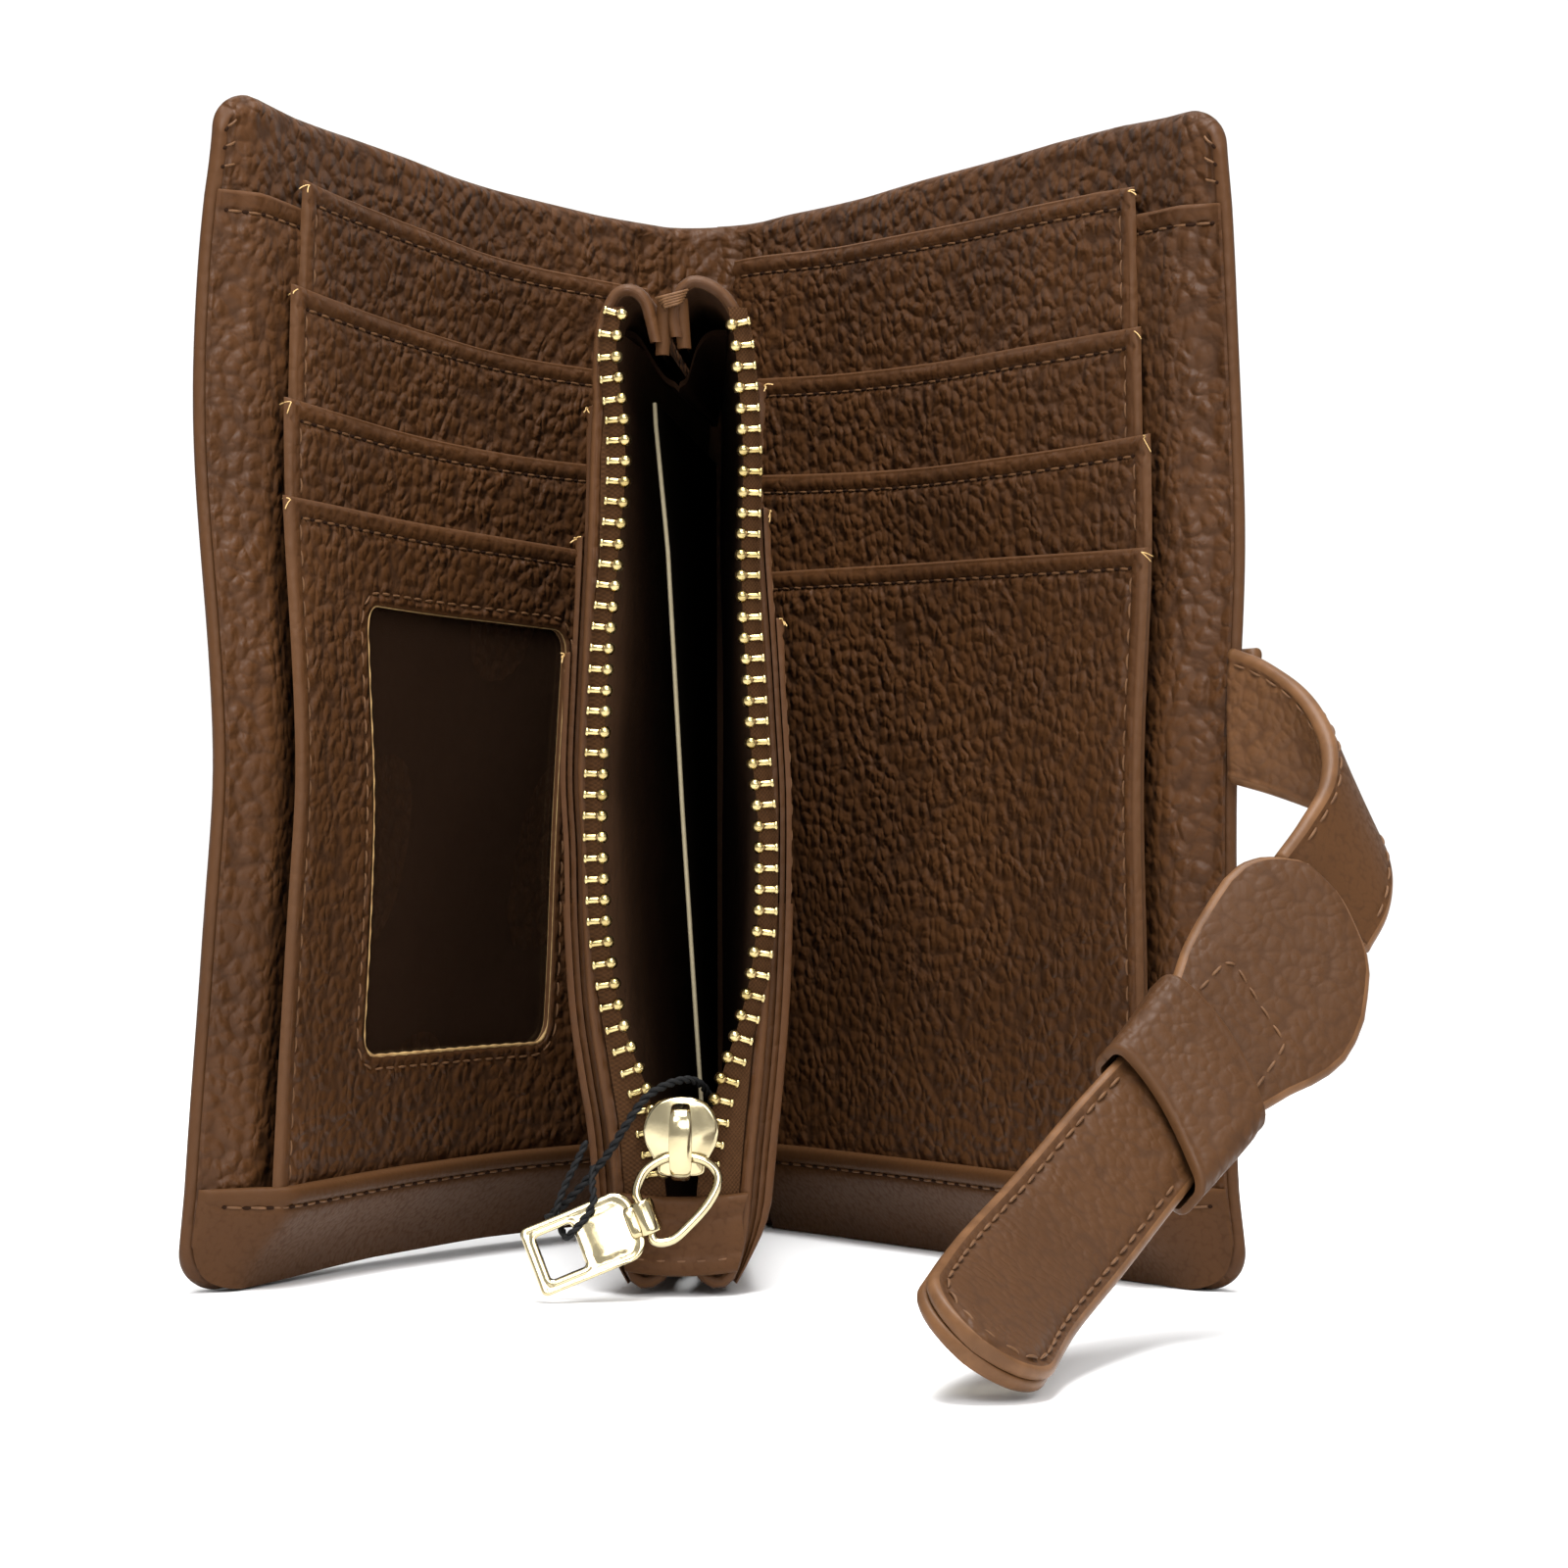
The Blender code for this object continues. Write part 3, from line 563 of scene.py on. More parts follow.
# how far the top and bottom edges stand above the straight cut: soft leather is never quite level
TOP_LIFT = {
    -1: ([-12, 0, 15, 40, 50, 62, 75, 90, 100, 106.5], [.5, -.1, -.4, -.2, 0, .6, 1.1, 1.4, 2.0, 2.1]),
    1: ([-12, 0, 5, 25, 50, 70, 85, 95, 106.5], [.5, .9, 1.0, .75, 1.1, 1.4, 1.2, .6, .3]),
}
LOW_LIFT = {
    -1: ([-12, 0, 20, 45, 70, 90, 106], [.6, .8, 1.5, 1.6, 1.2, .4, 0]),
    1: ([-12, -4, 106], [.6, 0, 0]),
}


def lift(side, u, z):
    return np.interp(u, *TOP_LIFT[side]) * smooth((z - 100) / 40) + np.interp(u, *LOW_LIFT[side]) * smooth((25 - z) / 25)


def lean(side, u, z):
    zz, ee = LEAN[side]
    z = np.asarray(z, float)
    fine = np.linspace(-20, 160, 361)
    base = np.interp(fine, zz, ee)
    k = np.exp(-(np.linspace(-12, 12, 49) ** 2) / 40)
    base = np.convolve(base, k / k.sum(), "same")
    e = np.interp(z, fine, base) * np.clip(np.asarray(u, float) / COVER_W, 0, 1.1) ** 2
    q = smooth(np.asarray(u, float) / 18)
    wave = 0.28 * np.sin(u / 11.0 + z / 15.0 + side) + 0.20 * np.sin(z / 8.7 - u / 17.0) \
        + 0.16 * np.sin(u / 6.1 - z / 21.0 + 2 * side)
    return e + wave * q


def drop(u):
    d = np.clip(np.asarray(u, float) - (COVER_W - CORNER_R), 0, CORNER_R)
    return CORNER_R - np.sqrt(np.clip(CORNER_R**2 - d * d, 0, None))


def cover(side, u, z, n):
    """Points on a cover. Everything in front of the lining is drawn in where it is sewn."""
    u, z, n = np.broadcast_arrays(*(np.asarray(q, float) for q in (u, z, n)))
    s = (np.arange(len(PATHS[side])) - 28) * STEP
    x, y = np.interp(u, s, PATHS[side][:, 0]), np.interp(u, s, PATHS[side][:, 1])
    a = np.radians(fold_angle(side, u))
    pinch_z = 0.14 + 0.86 * smooth((z - 0.2) / 11.0)
    pinch_u = 1 - 0.82 * smooth((u - ENDS[side][3] - 1.3) / 7.5)
    m = np.where(n > 4.2, 4.2 + (n - 4.2) * pinch_z * pinch_u, n)
    # the padding thins out towards the outer edge
    m = m - 1.5 * smooth((5.5 - (COVER_W - u)) / 4.5) * np.clip(m / 4, 0, 1.2) + lean(side, u, z)
    x, y = x - side * np.cos(a) * m, y - np.sin(a) * m
    zz = np.where(z > COVER_H - 12, COVER_H - 12 + (z - COVER_H + 12) * (12 - drop(u)) / 12, z)
    zz = np.where(z < 12, 12 - (12 - z) * (12 - drop(u)) / 12, zz) + lift(side, u, z)
    return np.stack([x, y, np.maximum(zz, 0.05)], -1)


def inward(side, u):
    a = np.radians(fold_angle(side, u))
    return np.stack(np.broadcast_arrays(-side * np.cos(a), -np.sin(a), np.zeros_like(a)), -1)


R = (FOLD_X**2 + RISE**2) / (2 * RISE)
HALF = math.asin(FOLD_X / R)
SPINE_CY = FOLD_Y + RISE - R
SPINE_L = R * HALF


def spine_or_cover(side, s, z, n):
    """s runs from the middle of the spine over the fold and on along the cover."""
    s, z, n = np.broadcast_arrays(*(np.asarray(q, float) for q in (s, z, n)))
    a = side * np.clip(s, 0, SPINE_L) / R
    p = np.stack([(R - n) * np.sin(a), SPINE_CY + (R - n) * np.cos(a), z + lift(side, s - SPINE_L, z)], -1)
    q = cover(side, np.maximum(s - SPINE_L, 0), z, np.minimum(n, 4.2))
    t = smooth((s - SPINE_L + 1.5) / 3.0)[..., None]
    return np.where((s < SPINE_L - 1.5)[..., None], p, np.where((s > SPINE_L + 1.5)[..., None], q, p * (1 - t) + q * t))


# ------------------------------------------------------------------ padded shells
SHELL = {-1: ("front_cover", "left"), 1: ("back_cover", "right")}


def shell(side):
    """The padded board: outer leather, turned over a rounded edge, and the pebbled lining."""
    body, word = SHELL[side]
    w = COVER_W + SPINE_L
    ss = np.concatenate([
        np.linspace(0, SPINE_L - 2, 9), np.linspace(SPINE_L - 1.6, SPINE_L + 1.6, 9),
        np.linspace(SPINE_L + 2.2, w - 7, 50),
        w - 6 + 6 * np.sin(np.linspace(0.08, 1, 16) * math.pi / 2),
        w - np.array([2.4, 2.2, 2.0, 1.8, 1.65, 1.5, 1.35, 1.2, 1.0, 0.8])])
    ss = np.unique(np.round(ss, 4))
    ss = ss[np.concatenate([[True], np.diff(ss) > 0.06])]
    flat = np.concatenate([FINE[1:], np.linspace(7.2, 132.8, 54) - 2, 136 - FINE[1:][::-1]])
    flat = np.unique(np.clip(flat, 0, 136))
    arc = np.linspace(0, math.pi, 13)[1:-1]
    sec = [(0, 2 + f) for f in flat]                                   # outer face, going up
    sec += [(2 - 2 * math.cos(a), 138 + 2 * math.sin(a)) for a in arc]  # rolled top
    sec += [(4, 2 + f) for f in flat[::-1]]                            # inner face, going down
    sec += [(2 + 2 * math.cos(a), 2 - 2 * math.sin(a)) for a in arc]   # rolled bottom
    sec = np.array(sec)
    k = len(sec)
    u = ss - SPINE_L
    thick = np.sqrt(np.clip(1 - (np.clip(u - (COVER_W - 2), 0, 2) / 2) ** 2, 0.0, 1))
    n = 2 + (sec[None, :, 0] - 2) * np.maximum(thick, 0.03)[:, None]
    z = np.broadcast_to(sec[None, :, 1], n.shape).copy()
    outer, inner = sec[:, 0] < 0.01, sec[:, 0] > 3.99
    dz = np.minimum(z, COVER_H - z)
    du = np.clip(COVER_W - u, 0, 99)[:, None]
    d = np.minimum(dz, du)
    # a soft crown over the board, and the groove of the edge seam on the outer face
    crown = 0.55 * smooth((d - 2.5) / 9.0)
    seam = 0.30 * np.exp(-(((d - 3.0) / 0.40) ** 2))
    n = n - outer[None] * (crown - seam)
    n = n + inner[None] * (0.25 * smooth((d - 2.0) / 8.0))
    n = n - inner[None] * 0.85 * np.exp(-(((du - 1.5) / 0.34) ** 2))
    # creases of the two folds, on both faces
    fold = np.exp(-((u / 1.3) ** 2))[:, None]
    mid = np.exp(-(((ss - 0.0) / 1.5) ** 2))[:, None]
    n = n + outer[None] * fold * 0.55 - inner[None] * (fold * 0.9 + mid * 0.5)
    pleat = smooth((z - 104) / 34) * inner[None]
    if side < 0:
        n = n - pleat * (1.15 * np.exp(-(((u[:, None] - 6.8) / 1.5) ** 2)) - 0.7 * np.exp(-(((u[:, None] - 0.5) / 2.4) ** 2)))
    else:
        n = n - pleat * (1.05 * np.exp(-(((u[:, None] + 5.2) / 1.5) ** 2)) - 0.5 * np.exp(-(((u[:, None] - 1.0) / 2.4) ** 2)))
    p = spine_or_cover(side, ss[:, None], z, n)
    if side > 0:
        p[0, :, 0] = np.minimum(p[0, :, 0], 0)
    # end of the ring is closed at the outer edge; the two halves meet in the spine
    verts = p.reshape(-1, 3)
    faces = []
    for i in range(len(ss) - 1):
        a = np.arange(k)
        b = (a + 1) % k
        faces.append(np.stack([i * k + a, i * k + b, (i + 1) * k + b, (i + 1) * k + a], 1))
    faces = [tuple(f) for f in np.concatenate(faces)]
    last = (len(ss) - 1) * k
    # the narrow outer end, closed across its thickness
    m = len(flat)
    top, bot = list(range(m, m + len(arc))), list(range(2 * m + len(arc), 2 * m + 2 * len(arc)))
    for j in range(m - 1):
        a0, a1 = j, j + 1
        b0, b1 = m + len(arc) + (m - 1 - j), m + len(arc) + (m - 2 - j)
        faces.append((last + a0, last + b0, last + b1, last + a1))
    faces.append(tuple(last + q for q in [m - 1, *top, m + len(arc)])[::-1])
    faces.append(tuple(last + q for q in [2 * m + len(arc) - 1, *bot, 0])[::-1])
    dd = np.broadcast_to(du, n.shape)
    # smoothed grain towards the outer edge, with a painted highlight at its very rim
    rim = 0.32 * (1 - smooth((dd - 1.5) / 0.5)) + 0.22 * np.exp(-((dd / 0.7) ** 2))
    rim = np.where((outer | inner)[None], rim, np.maximum(rim, 0.06))
    o = build(f"{body}_shell", verts, faces, pebbled, None, edge=rim.ravel())
    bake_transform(o)
    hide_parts(f"{body}_outer_leather", f"{body}_lining", f"{body}_board",
                "spine_outer_leather", "spine_lining", "spine_board")
    return o


for side in (-1, 1):
    shell(side)

STITCH = {b: Buffer() for b in ("front_cover", "back_cover", "root", "strap", "strap_end")}
TAILS = {b: Buffer() for b in ("front_cover", "back_cover", "root", "strap", "strap_end")}
HOLE_SHADES = {b: Buffer() for b in ("front_cover", "back_cover", "root", "strap", "strap_end")}


def sew_cover(side, pts, n, pitch=3.0, face=1, dark=True, **kw):
    """Stitches along (u, z) points; n is a number or a function of u and z."""
    pts = np.array(pts, float)
    seg = np.concatenate([[0], np.cumsum(np.hypot(*np.diff(pts, axis=0).T))])
    t = np.linspace(0, seg[-1], max(8, int(seg[-1] / 1.0)))
    u, z = np.interp(t, seg, pts[:, 0]), np.interp(t, seg, pts[:, 1])
    nn = n(u, z) if callable(n) else np.full_like(u, n)
    sew(STITCH[SHELL[side][0]], cover(side, u, z, nn), inward(side, u) * face, pitch,
        hole_shades=HOLE_SHADES[SHELL[side][0]] if face > 0 and dark else None, **kw)


# the edge seam of each cover: on the outer face, and on the inner one beside the strip
for side in (-1, 1):
    e = 3.0
    arc = [(COVER_W - e - (CORNER_R - e + 1) * (1 - math.sin(t)), COVER_H - e - (CORNER_R - e + 1) * (1 - math.cos(t)))
           for t in np.linspace(0, math.pi / 2, 7)]
    loop = [(1.0, COVER_H - e), *arc, *[(u, COVER_H - z) for u, z in arc[::-1]], (1.0, e)]
    loop = [(u, z) for u, z in loop]
    sew_cover(side, loop, -0.02, face=-1, pitch=3.1)
    # short stitches that bridge the seam where no pocket covers it
    for z in (137.6, 134.7, 131.8, 9.6, 6.4, 3.4):
        sew_cover(side, [(COVER_W - 2.7, z), (COVER_W - 0.5, z + 0.15)], lambda u, z_: 4.02 - 0.9 * smooth((u - COVER_W + 1.6) / 1.6),
                  pitch=2.2, length=2.0, r=0.16, lift=0.15)


# ------------------------------------------------------------------ panels on the covers
def hug_edge(u):
    """How far a panel sewn to the cover's outer edge follows the rounded edge down."""
    d = np.clip(COVER_W - u, 0, 2)
    return 1.75 * (1 - np.sqrt(np.clip(1 - (1 - d / 2) ** 2, 0, 1)))


def panel(name, side, u0, u1, z0, z1, n0, mats, replaces, prof_top=True, prof_out=True,
          prof_in=True, prof_bottom=False, body_t=0.85, high=1.05, warp=None, k=None, sag=0.0, hug=False):
    body = SHELL[side][0]
    us = stations(u0, u1, prof_in, prof_out, extra=u1 - FINE[:12] if hug else ())
    zs = stations(z0, z1, prof_bottom, prof_top)
    U, Z = np.meshgrid(us, zs, indexing="ij")
    h = np.full_like(U, body_t)
    big = np.full_like(U, 99.0)
    dists = [(Z1 if ok else big) for ok, Z1 in (
        (prof_top, z1 - Z), (prof_out, u1 - U), (prof_in, U - u0), (prof_bottom, Z - z0))]
    for ok, d in zip((prof_top, prof_out, prof_in, prof_bottom), dists):
        if ok:
            h = np.minimum(h, 99) if d is None else h
    hs = [turned(d, high=high, body=body_t) for ok, d in zip((prof_top, prof_out, prof_in, prof_bottom), dists) if ok]
    dmin = np.minimum.reduce([d for d in dists])
    if hs:
        # the highest rim wins in the middle of an edge, the lowest where it rounds off
        rim = np.where(dmin < 0.8, np.minimum.reduce(hs), np.minimum.reduce(hs) * 0.5 + np.maximum.reduce(hs) * 0.5)
        far = smooth((dmin - 0.5) / 0.6)
        h = np.minimum.reduce(hs) * (1 - far) + np.where(dmin < 12, turned(dmin, high=high, body=body_t), body_t) * far
    Zs = Z.copy()
    if sag:
        # the mouth of a slot sags a little between its ends
        q = np.sin(math.pi * np.clip((U - u0) / (u1 - u0), 0, 1)) * smooth((Z - (z1 - 22)) / 22)
        Zs = Z - sag * q
        h = h + 0.25 * sag * q
    if k is not None:
        Zs = Zs + tilt(side, k, U, Z, z1)
    if warp is not None:
        h = h + warp(U, Z)
    down = hug_edge(U) if hug else 0.0
    front = cover(side, U, Zs, n0 + h - down)
    back = cover(side, U, Zs, np.full_like(U, n0) - down)
    v, f = slab(front, back)
    e = rim_mark(dmin)
    o = build(name, v, f, mats, body, edge=np.concatenate([e.ravel(), e.ravel()]), angle=50)
    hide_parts(replaces)
    return o


def front_at(n0, body_t=0.85, high=1.05, d=2.45):
    return n0 + float(turned(np.array(d), high=high, body=body_t)) + 0.06


TOPS = {-1: (130.0, 117.6, 104.5, 92.7), 1: (130.0, 114.0, 100.0, 88.0)}
N_SLOT = (5.9, 6.75, 7.6, 8.75)
U_IN = {-1: (9.5, 9.5, 9.5, 9.5), 1: (-2.5, 3.0, 3.0, 4.0)}
# how much the pockets' top edges rise at their outer and inner ends
RISE_OUT = {-1: (1.6, 1.6, 1.6, 1.6), 1: (1.7, 1.0, 2.0, 0.3)}
RISE_IN = {-1: (0.0, 0.0, 0.0, -1.0), 1: (4.4, 3.6, 4.5, 2.8)}


def tilt(side, k, u, z, top):
    t = np.clip(np.asarray(u, float) / ENDS[side][k], 0, 1.1)
    return (RISE_OUT[side][k] * t + RISE_IN[side][k] * (1 - t)) * smooth((np.asarray(z, float) - top + 34) / 34)

for side in (-1, 1):
    name = SHELL[side][0]
    # base pocket: only its outer strip and a little of its top edge stay in view
    panel(f"{name}_base_pocket_leather", side, 7.5, COVER_W - 0.1, 1.5, 128.6, 4.9, pebbled,
          f"{name}_base_pocket", prof_out=False, high=1.0, body_t=1.0, hug=True,
          warp=lambda U, Z: 0.50 * np.exp(-(((U - 100.6) / 3.4) ** 2)) * smooth((124 - Z) / 6) * smooth(Z / 14))
    n_base = 4.9 + float(turned(np.array(2.45), high=1.0, body=1.0)) + 0.06
    sew_cover(side, [(90.0, 126.15), (COVER_W - 0.8, 126.15)], lambda u, z: n_base - hug_edge(u))
    for k in range(3):
        ui, ue, top, sag = U_IN[side][k], ENDS[side][k], TOPS[side][k], 0.7 + 0.25 * k
        panel(f"{name}_slot_leather_{k + 1}", side, ui, ue, 2.5, top, N_SLOT[k],
              pebbled_far, f"{name}_card_slot_{k + 1}", prof_in=False, sag=sag, k=k)

        def n_top(u, z, k=k, side=side, ui=ui, ue=ue, sag=sag):
            return front_at(N_SLOT[k]) + 0.25 * sag * np.sin(math.pi * np.clip((u - ui) / (ue - ui), 0, 1))

        uu = np.linspace(ui + 1, ue - 2.45, 40)
        zz = top - 2.45 - sag * np.sin(math.pi * (uu - ui) / (ue - ui)) + tilt(side, k, uu, top - 2.45, top)
        sew_cover(side, np.stack([uu, zz], 1), n_top)
        below = TOPS[side][k + 1]
        up_by = float(tilt(side, k, ue, top, top))
        sew_cover(side, [(ue - 2.45, top - 2.9 + up_by), (ue - 2.45, below + up_by)], front_at(N_SLOT[k]), dark=False)
    ui, ue, top = U_IN[side][3], ENDS[side][3], TOPS[side][3]
    uu = np.linspace(ui + 1, ue - 2.45, 40)
    sew_cover(side, np.stack([uu, top - 2.45 + tilt(side, 3, uu, top - 2.45, top)], 1), front_at(N_SLOT[3]))
    up_by = float(tilt(side, 3, ue, top, top))
    sew_cover(side, [(ue - 2.45, top - 2.9 + up_by), (ue - 2.45, 12.4)], front_at(N_SLOT[3]), dark=False)
    # loose thread ends at the slots' corners
    for k in range(4):
        ue, top = ENDS[side][k], TOPS[side][k] + float(tilt(side, k, ENDS[side][k], TOPS[side][k], TOPS[side][k]))
        at = cover(side, ue - 0.3, top - 0.6, N_SLOT[k] + 0.8)
        for j in range(2):
            tail(TAILS[name], at, (side * 0.7 + rng.normal(0, .3), -0.5, rng.normal(0, .5)),
                 length=0.8 + rng.random() * 0.5)

# slip panel of the back cover
panel("back_cover_slip_panel_leather", 1, U_IN[1][3], ENDS[1][3], 2.5, TOPS[1][3], N_SLOT[3], pebbled_far,
      "back_cover_slip_pocket_panel", prof_in=False, k=3,
      warp=lambda U, Z: 0.5 * np.sin(math.pi * np.clip(U / 96, 0, 1)) * smooth((86 - Z) / 20) * smooth(Z / 25))

# ID panel: a frame of leather round a cut window
HU0, HU1, HZ0, HZ1, HR = 33.0, 82.0, 27.0, 81.5, 3.0


def round_rect(u0, u1, z0, z1, r, count):
    """Points of a rounded rectangle, spread by angle about its middle."""
    cu, cz = (u0 + u1) / 2, (z0 + z1) / 2
    hu, hz = (u1 - u0) / 2, (z1 - z0) / 2
    pts = []
    per = []
    for cx, cy, a0 in ((hu - r, hz - r, 0), (-hu + r, hz - r, 90), (-hu + r, -hz + r, 180), (hu - r, -hz + r, 270)):
        for t in np.linspace(0, 90, 9):
            a = math.radians(a0 + t)
            pts.append((cu + cx + r * math.cos(a), cz + cy + r * math.sin(a)))
    pts = np.array(pts + [pts[0]])
    s = np.concatenate([[0], np.cumsum(np.hypot(*np.diff(pts, axis=0).T))])
    t = np.linspace(0, s[-1], count, endpoint=False)
    return np.stack([np.interp(t, s, pts[:, 0]), np.interp(t, s, pts[:, 1])], 1)


def box_sdf(u, z, u0, u1, z0, z1, r):
    qx = np.abs(u - (u0 + u1) / 2) - (u1 - u0) / 2 + r
    qz = np.abs(z - (z0 + z1) / 2) - (z1 - z0) / 2 + r
    return np.hypot(np.maximum(qx, 0), np.maximum(qz, 0)) + np.minimum(np.maximum(qx, qz), 0) - r


def id_panel():
    u0, u1, z0, z1 = U_IN[-1][3], ENDS[-1][3], 2.5, TOPS[-1][3]

    def sh(u, z):
        """The window is cut a little out of square: its inner edge leans."""
        k = np.interp(u, [u0, HU0, HU1, u1], [0, 1, 0, 0])
        return 4.0 * np.clip((HZ1 - z) / (HZ1 - HZ0), -0.1, 1.2) * k

    def on(u, z, n):
        return cover(-1, u + sh(u, z), z + tilt(-1, 3, u, z, z1), n)
    inner = round_rect(HU0, HU1, HZ0, HZ1, HR, 240)
    cu, cz = (HU0 + HU1) / 2, (HZ0 + HZ1) / 2
    # each ray from the window's middle ends on the panel's outline
    d = inner - [cu, cz]
    with np.errstate(divide="ignore"):
        k = np.minimum(np.where(d[:, 0] > 0, (u1 - cu) / d[:, 0], (u0 - cu) / d[:, 0]),
                       np.where(d[:, 1] > 0, (z1 - cz) / d[:, 1], (z0 - cz) / d[:, 1]))
    outer = np.array([cu, cz]) + d * k[:, None]
    for c in ((u0, z0), (u0, z1), (u1, z0), (u1, z1)):
        outer[np.argmin(np.hypot(*(outer - c).T))] = c
    gap = np.hypot(*(outer - inner).T)
    fr = []
    base = list(FINE[:-1])
    rows = len(base) * 2 + 6
    P = np.zeros((len(inner), rows, 2))
    for i in range(len(inner)):
        g = gap[i]
        lo = [b for b in base]
        s = np.concatenate([np.minimum(np.array(base), g * 0.45), np.linspace(0.47, 0.53, 6) * g,
                            g - np.minimum(np.array(base), g * 0.45)[::-1]])
        P[i] = inner[i] + (outer[i] - inner[i]) * (np.sort(s) / g)[:, None]
    U, Z = P[..., 0], P[..., 1]
    dh = box_sdf(U, Z, HU0, HU1, HZ0, HZ1, HR)
    do = np.minimum(u1 - U, z1 - Z)
    h_in = turned(np.maximum(dh, 0), high=0.85, body=0.85, r=0.25, at=1.5, deep=0.24, wide=0.35, settle=3.0, puff=0.0)
    h_out = turned(np.maximum(do, 0))
    h = np.minimum(np.where(dh < 4.6, h_in, 0.85), 99)
    far = smooth((do - 4.0) / 1.0)
    h = np.where(do < 4.8, np.minimum(h_out, np.where(dh < 4.6, h_in, 99)) * (1 - far) + h * far, h)
    n0 = N_SLOT[3]
    front, back = on(U, Z, n0 + h), on(U, Z, np.full_like(U, n0 - 0.05))
    v, f = slab(front, back, wrap=True)
    # smoothed grain and a painted highlight along the outer edges and round the window
    e = np.maximum(rim_mark(do), np.exp(-((dh / 0.5) ** 2)) * 0.7)
    n = U.size
    walls = np.zeros(len(f), int)
    ng = len(grid_faces(U.shape[0], U.shape[1], 0, True))
    walls[2 * ng:2 * ng + U.shape[0]] = 1      # the cut edge of the window
    o = build("front_cover_id_panel_leather", v, f, [pebbled_far, raw_edge], "front_cover",
              face_mats=walls, edge=np.concatenate([e.ravel(), e.ravel()]), angle=50)
    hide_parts("front_cover_id_window_panel")
    q = round_rect(HU0 - 1.6, HU1 + 1.6, HZ0 - 1.6, HZ1 + 1.6, HR + 1.4, 240)
    q = np.concatenate([q, q[:1]])
    q = np.stack([q[:, 0] + sh(q[:, 0], q[:, 1]), q[:, 1] + tilt(-1, 3, q[:, 0], q[:, 1], z1)], 1)
    sew_cover(-1, q, n0 + 0.68, pitch=2.7, length=2.0, dark=False)
    # the cut edge, with a paler fibre that stands out of it
    m = inner
    pts = on(m[:, 0], m[:, 1], n0 + 0.62)
    bare = np.maximum(smooth((HZ0 + 3 - m[:, 1]) / 3), smooth((m[:, 0] - HU1 + 3) / 3))
    v, f = tube(pts, 0.07 + (0.17 + 0.06 * np.sin(np.arange(len(pts)) * 1.7)) * bare, 6, closed=True)
    build("id_window_cut_edge", v, f, raw_edge, "front_cover", fix=True)
    # the film, slightly slack behind the window, dark as painted shade of the pocket behind it
    us, zs = np.linspace(30, 85, 40), np.linspace(24, 85, 40)
    U, Z = np.meshgrid(us, zs, indexing="ij")
    slack = 0.16 * np.sin(U / 7.0 + Z / 19.0) * np.sin(Z / 11.0)
    v, f = slab(cover(-1, U, Z, 8.62 + slack), cover(-1, U, Z, 8.52 + slack))
    o = build("id_film", v, f, film_m, "front_cover")
    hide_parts("id_window_film")


id_panel()


# bottom band: smooth leather turned over all the pockets' lower ends
def band(side):
    name = SHELL[side][0]
    u0, u1 = 8.5 if side < 0 else 5.0, COVER_W + 0.05
    e3 = ENDS[side][3]
    us = stations(u0, u1, False, True, step=2.2)
    zs = np.concatenate([[0.15, 0.4, 0.8, 1.4, 2.2, 3.2, 4.6, 6.0], 12.4 - FINE[::-1][1:]])
    zs = np.unique(zs)
    U, Z = np.meshgrid(us, zs, indexing="ij")
    n_in = 9.85 - 2.9 * smooth((U - e3 + 0.9) / 2.4) - 0.3 * smooth((U - e3 - 1.5) / 3)
    d = 12.4 - Z
    h = turned(d, high=1.1, body=0.85, settle=5.0)
    h = h * np.clip(np.sqrt(np.clip(1 - (1 - np.clip(Z / 1.2, 0, 1)) ** 2, 0, 1)), 0.1, 1)
    du = u1 - U
    h = h * np.sqrt(np.clip(1 - (1 - np.clip(du / 0.8, 0, 1)) ** 2, 0.02, 1))
    n_in = n_in - hug_edge(U)
    v, f = slab(cover(side, U, Z, n_in + h), cover(side, U, Z, n_in - 0.6))
    e = rim_mark(d)
    o = build(f"{name}_bottom_band_leather", v, f, smooth_l, name,
              edge=np.concatenate([e.ravel(), e.ravel()]), angle=50)
    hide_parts(f"{name}_bottom_band")

    def n_at(u, z):
        return 9.85 - 2.9 * smooth((u - e3 + 0.9) / 2.4) - 0.3 * smooth((u - e3 - 1.5) / 3) + 0.80

    sew_cover(side, [(u0 + 1, 9.95), (u1 - 1.6, 9.95)], n_at, pitch=2.9)


for side in (-1, 1):
    band(side)


# ------------------------------------------------------------------ coin pocket
# each half of the pocket's front outline: (distance from its middle plane, height)
OUTLINES = {
    -1: [(0.5, 112.0), (0.6, 114.6), (1.2, 117.0), (2.5, 118.5), (4.2, 119.0), (6.0, 118.2), (7.3, 115.8),
         (8.3, 113.2), (9.3, 110.3), (10.4, 106.5), (11.0, 99.0), (11.2, 86.0), (11.7, 73.0), (12.35, 61.0),
         (12.1, 53.0), (11.9, 44.0), (11.1, 34.0), (9.8, 26.0), (8.8, 20.0), (8.3, 14.0), (8.0, 9.0),
         (7.3, 5.0), (6.3, 2.0), (4.9, 0.8), (3.4, 0.9), (2.0, 1.8), (0.9, 3.6), (0.5, 6.0)],
    1: [(0.5, 112.6), (0.6, 115.6), (1.3, 118.2), (2.6, 119.6), (4.2, 120.0), (6.4, 119.2), (8.4, 117.4),
        (9.6, 114.6), (9.9, 111.0), (9.3, 106.5), (8.9, 99.0), (8.95, 88.0), (9.5, 78.0), (10.1, 69.0),
        (10.85, 59.0), (11.0, 50.0), (10.8, 42.0), (10.3, 34.0), (9.5, 26.0), (8.9, 20.0), (8.4, 14.0),
        (7.9, 8.0), (7.0, 4.0), (6.0, 1.6), (4.7, 0.8), (3.4, 0.9), (2.0, 1.9), (0.9, 3.6), (0.5, 6.0)]}
OUT, LENS, NRMS = {}, {}, {}
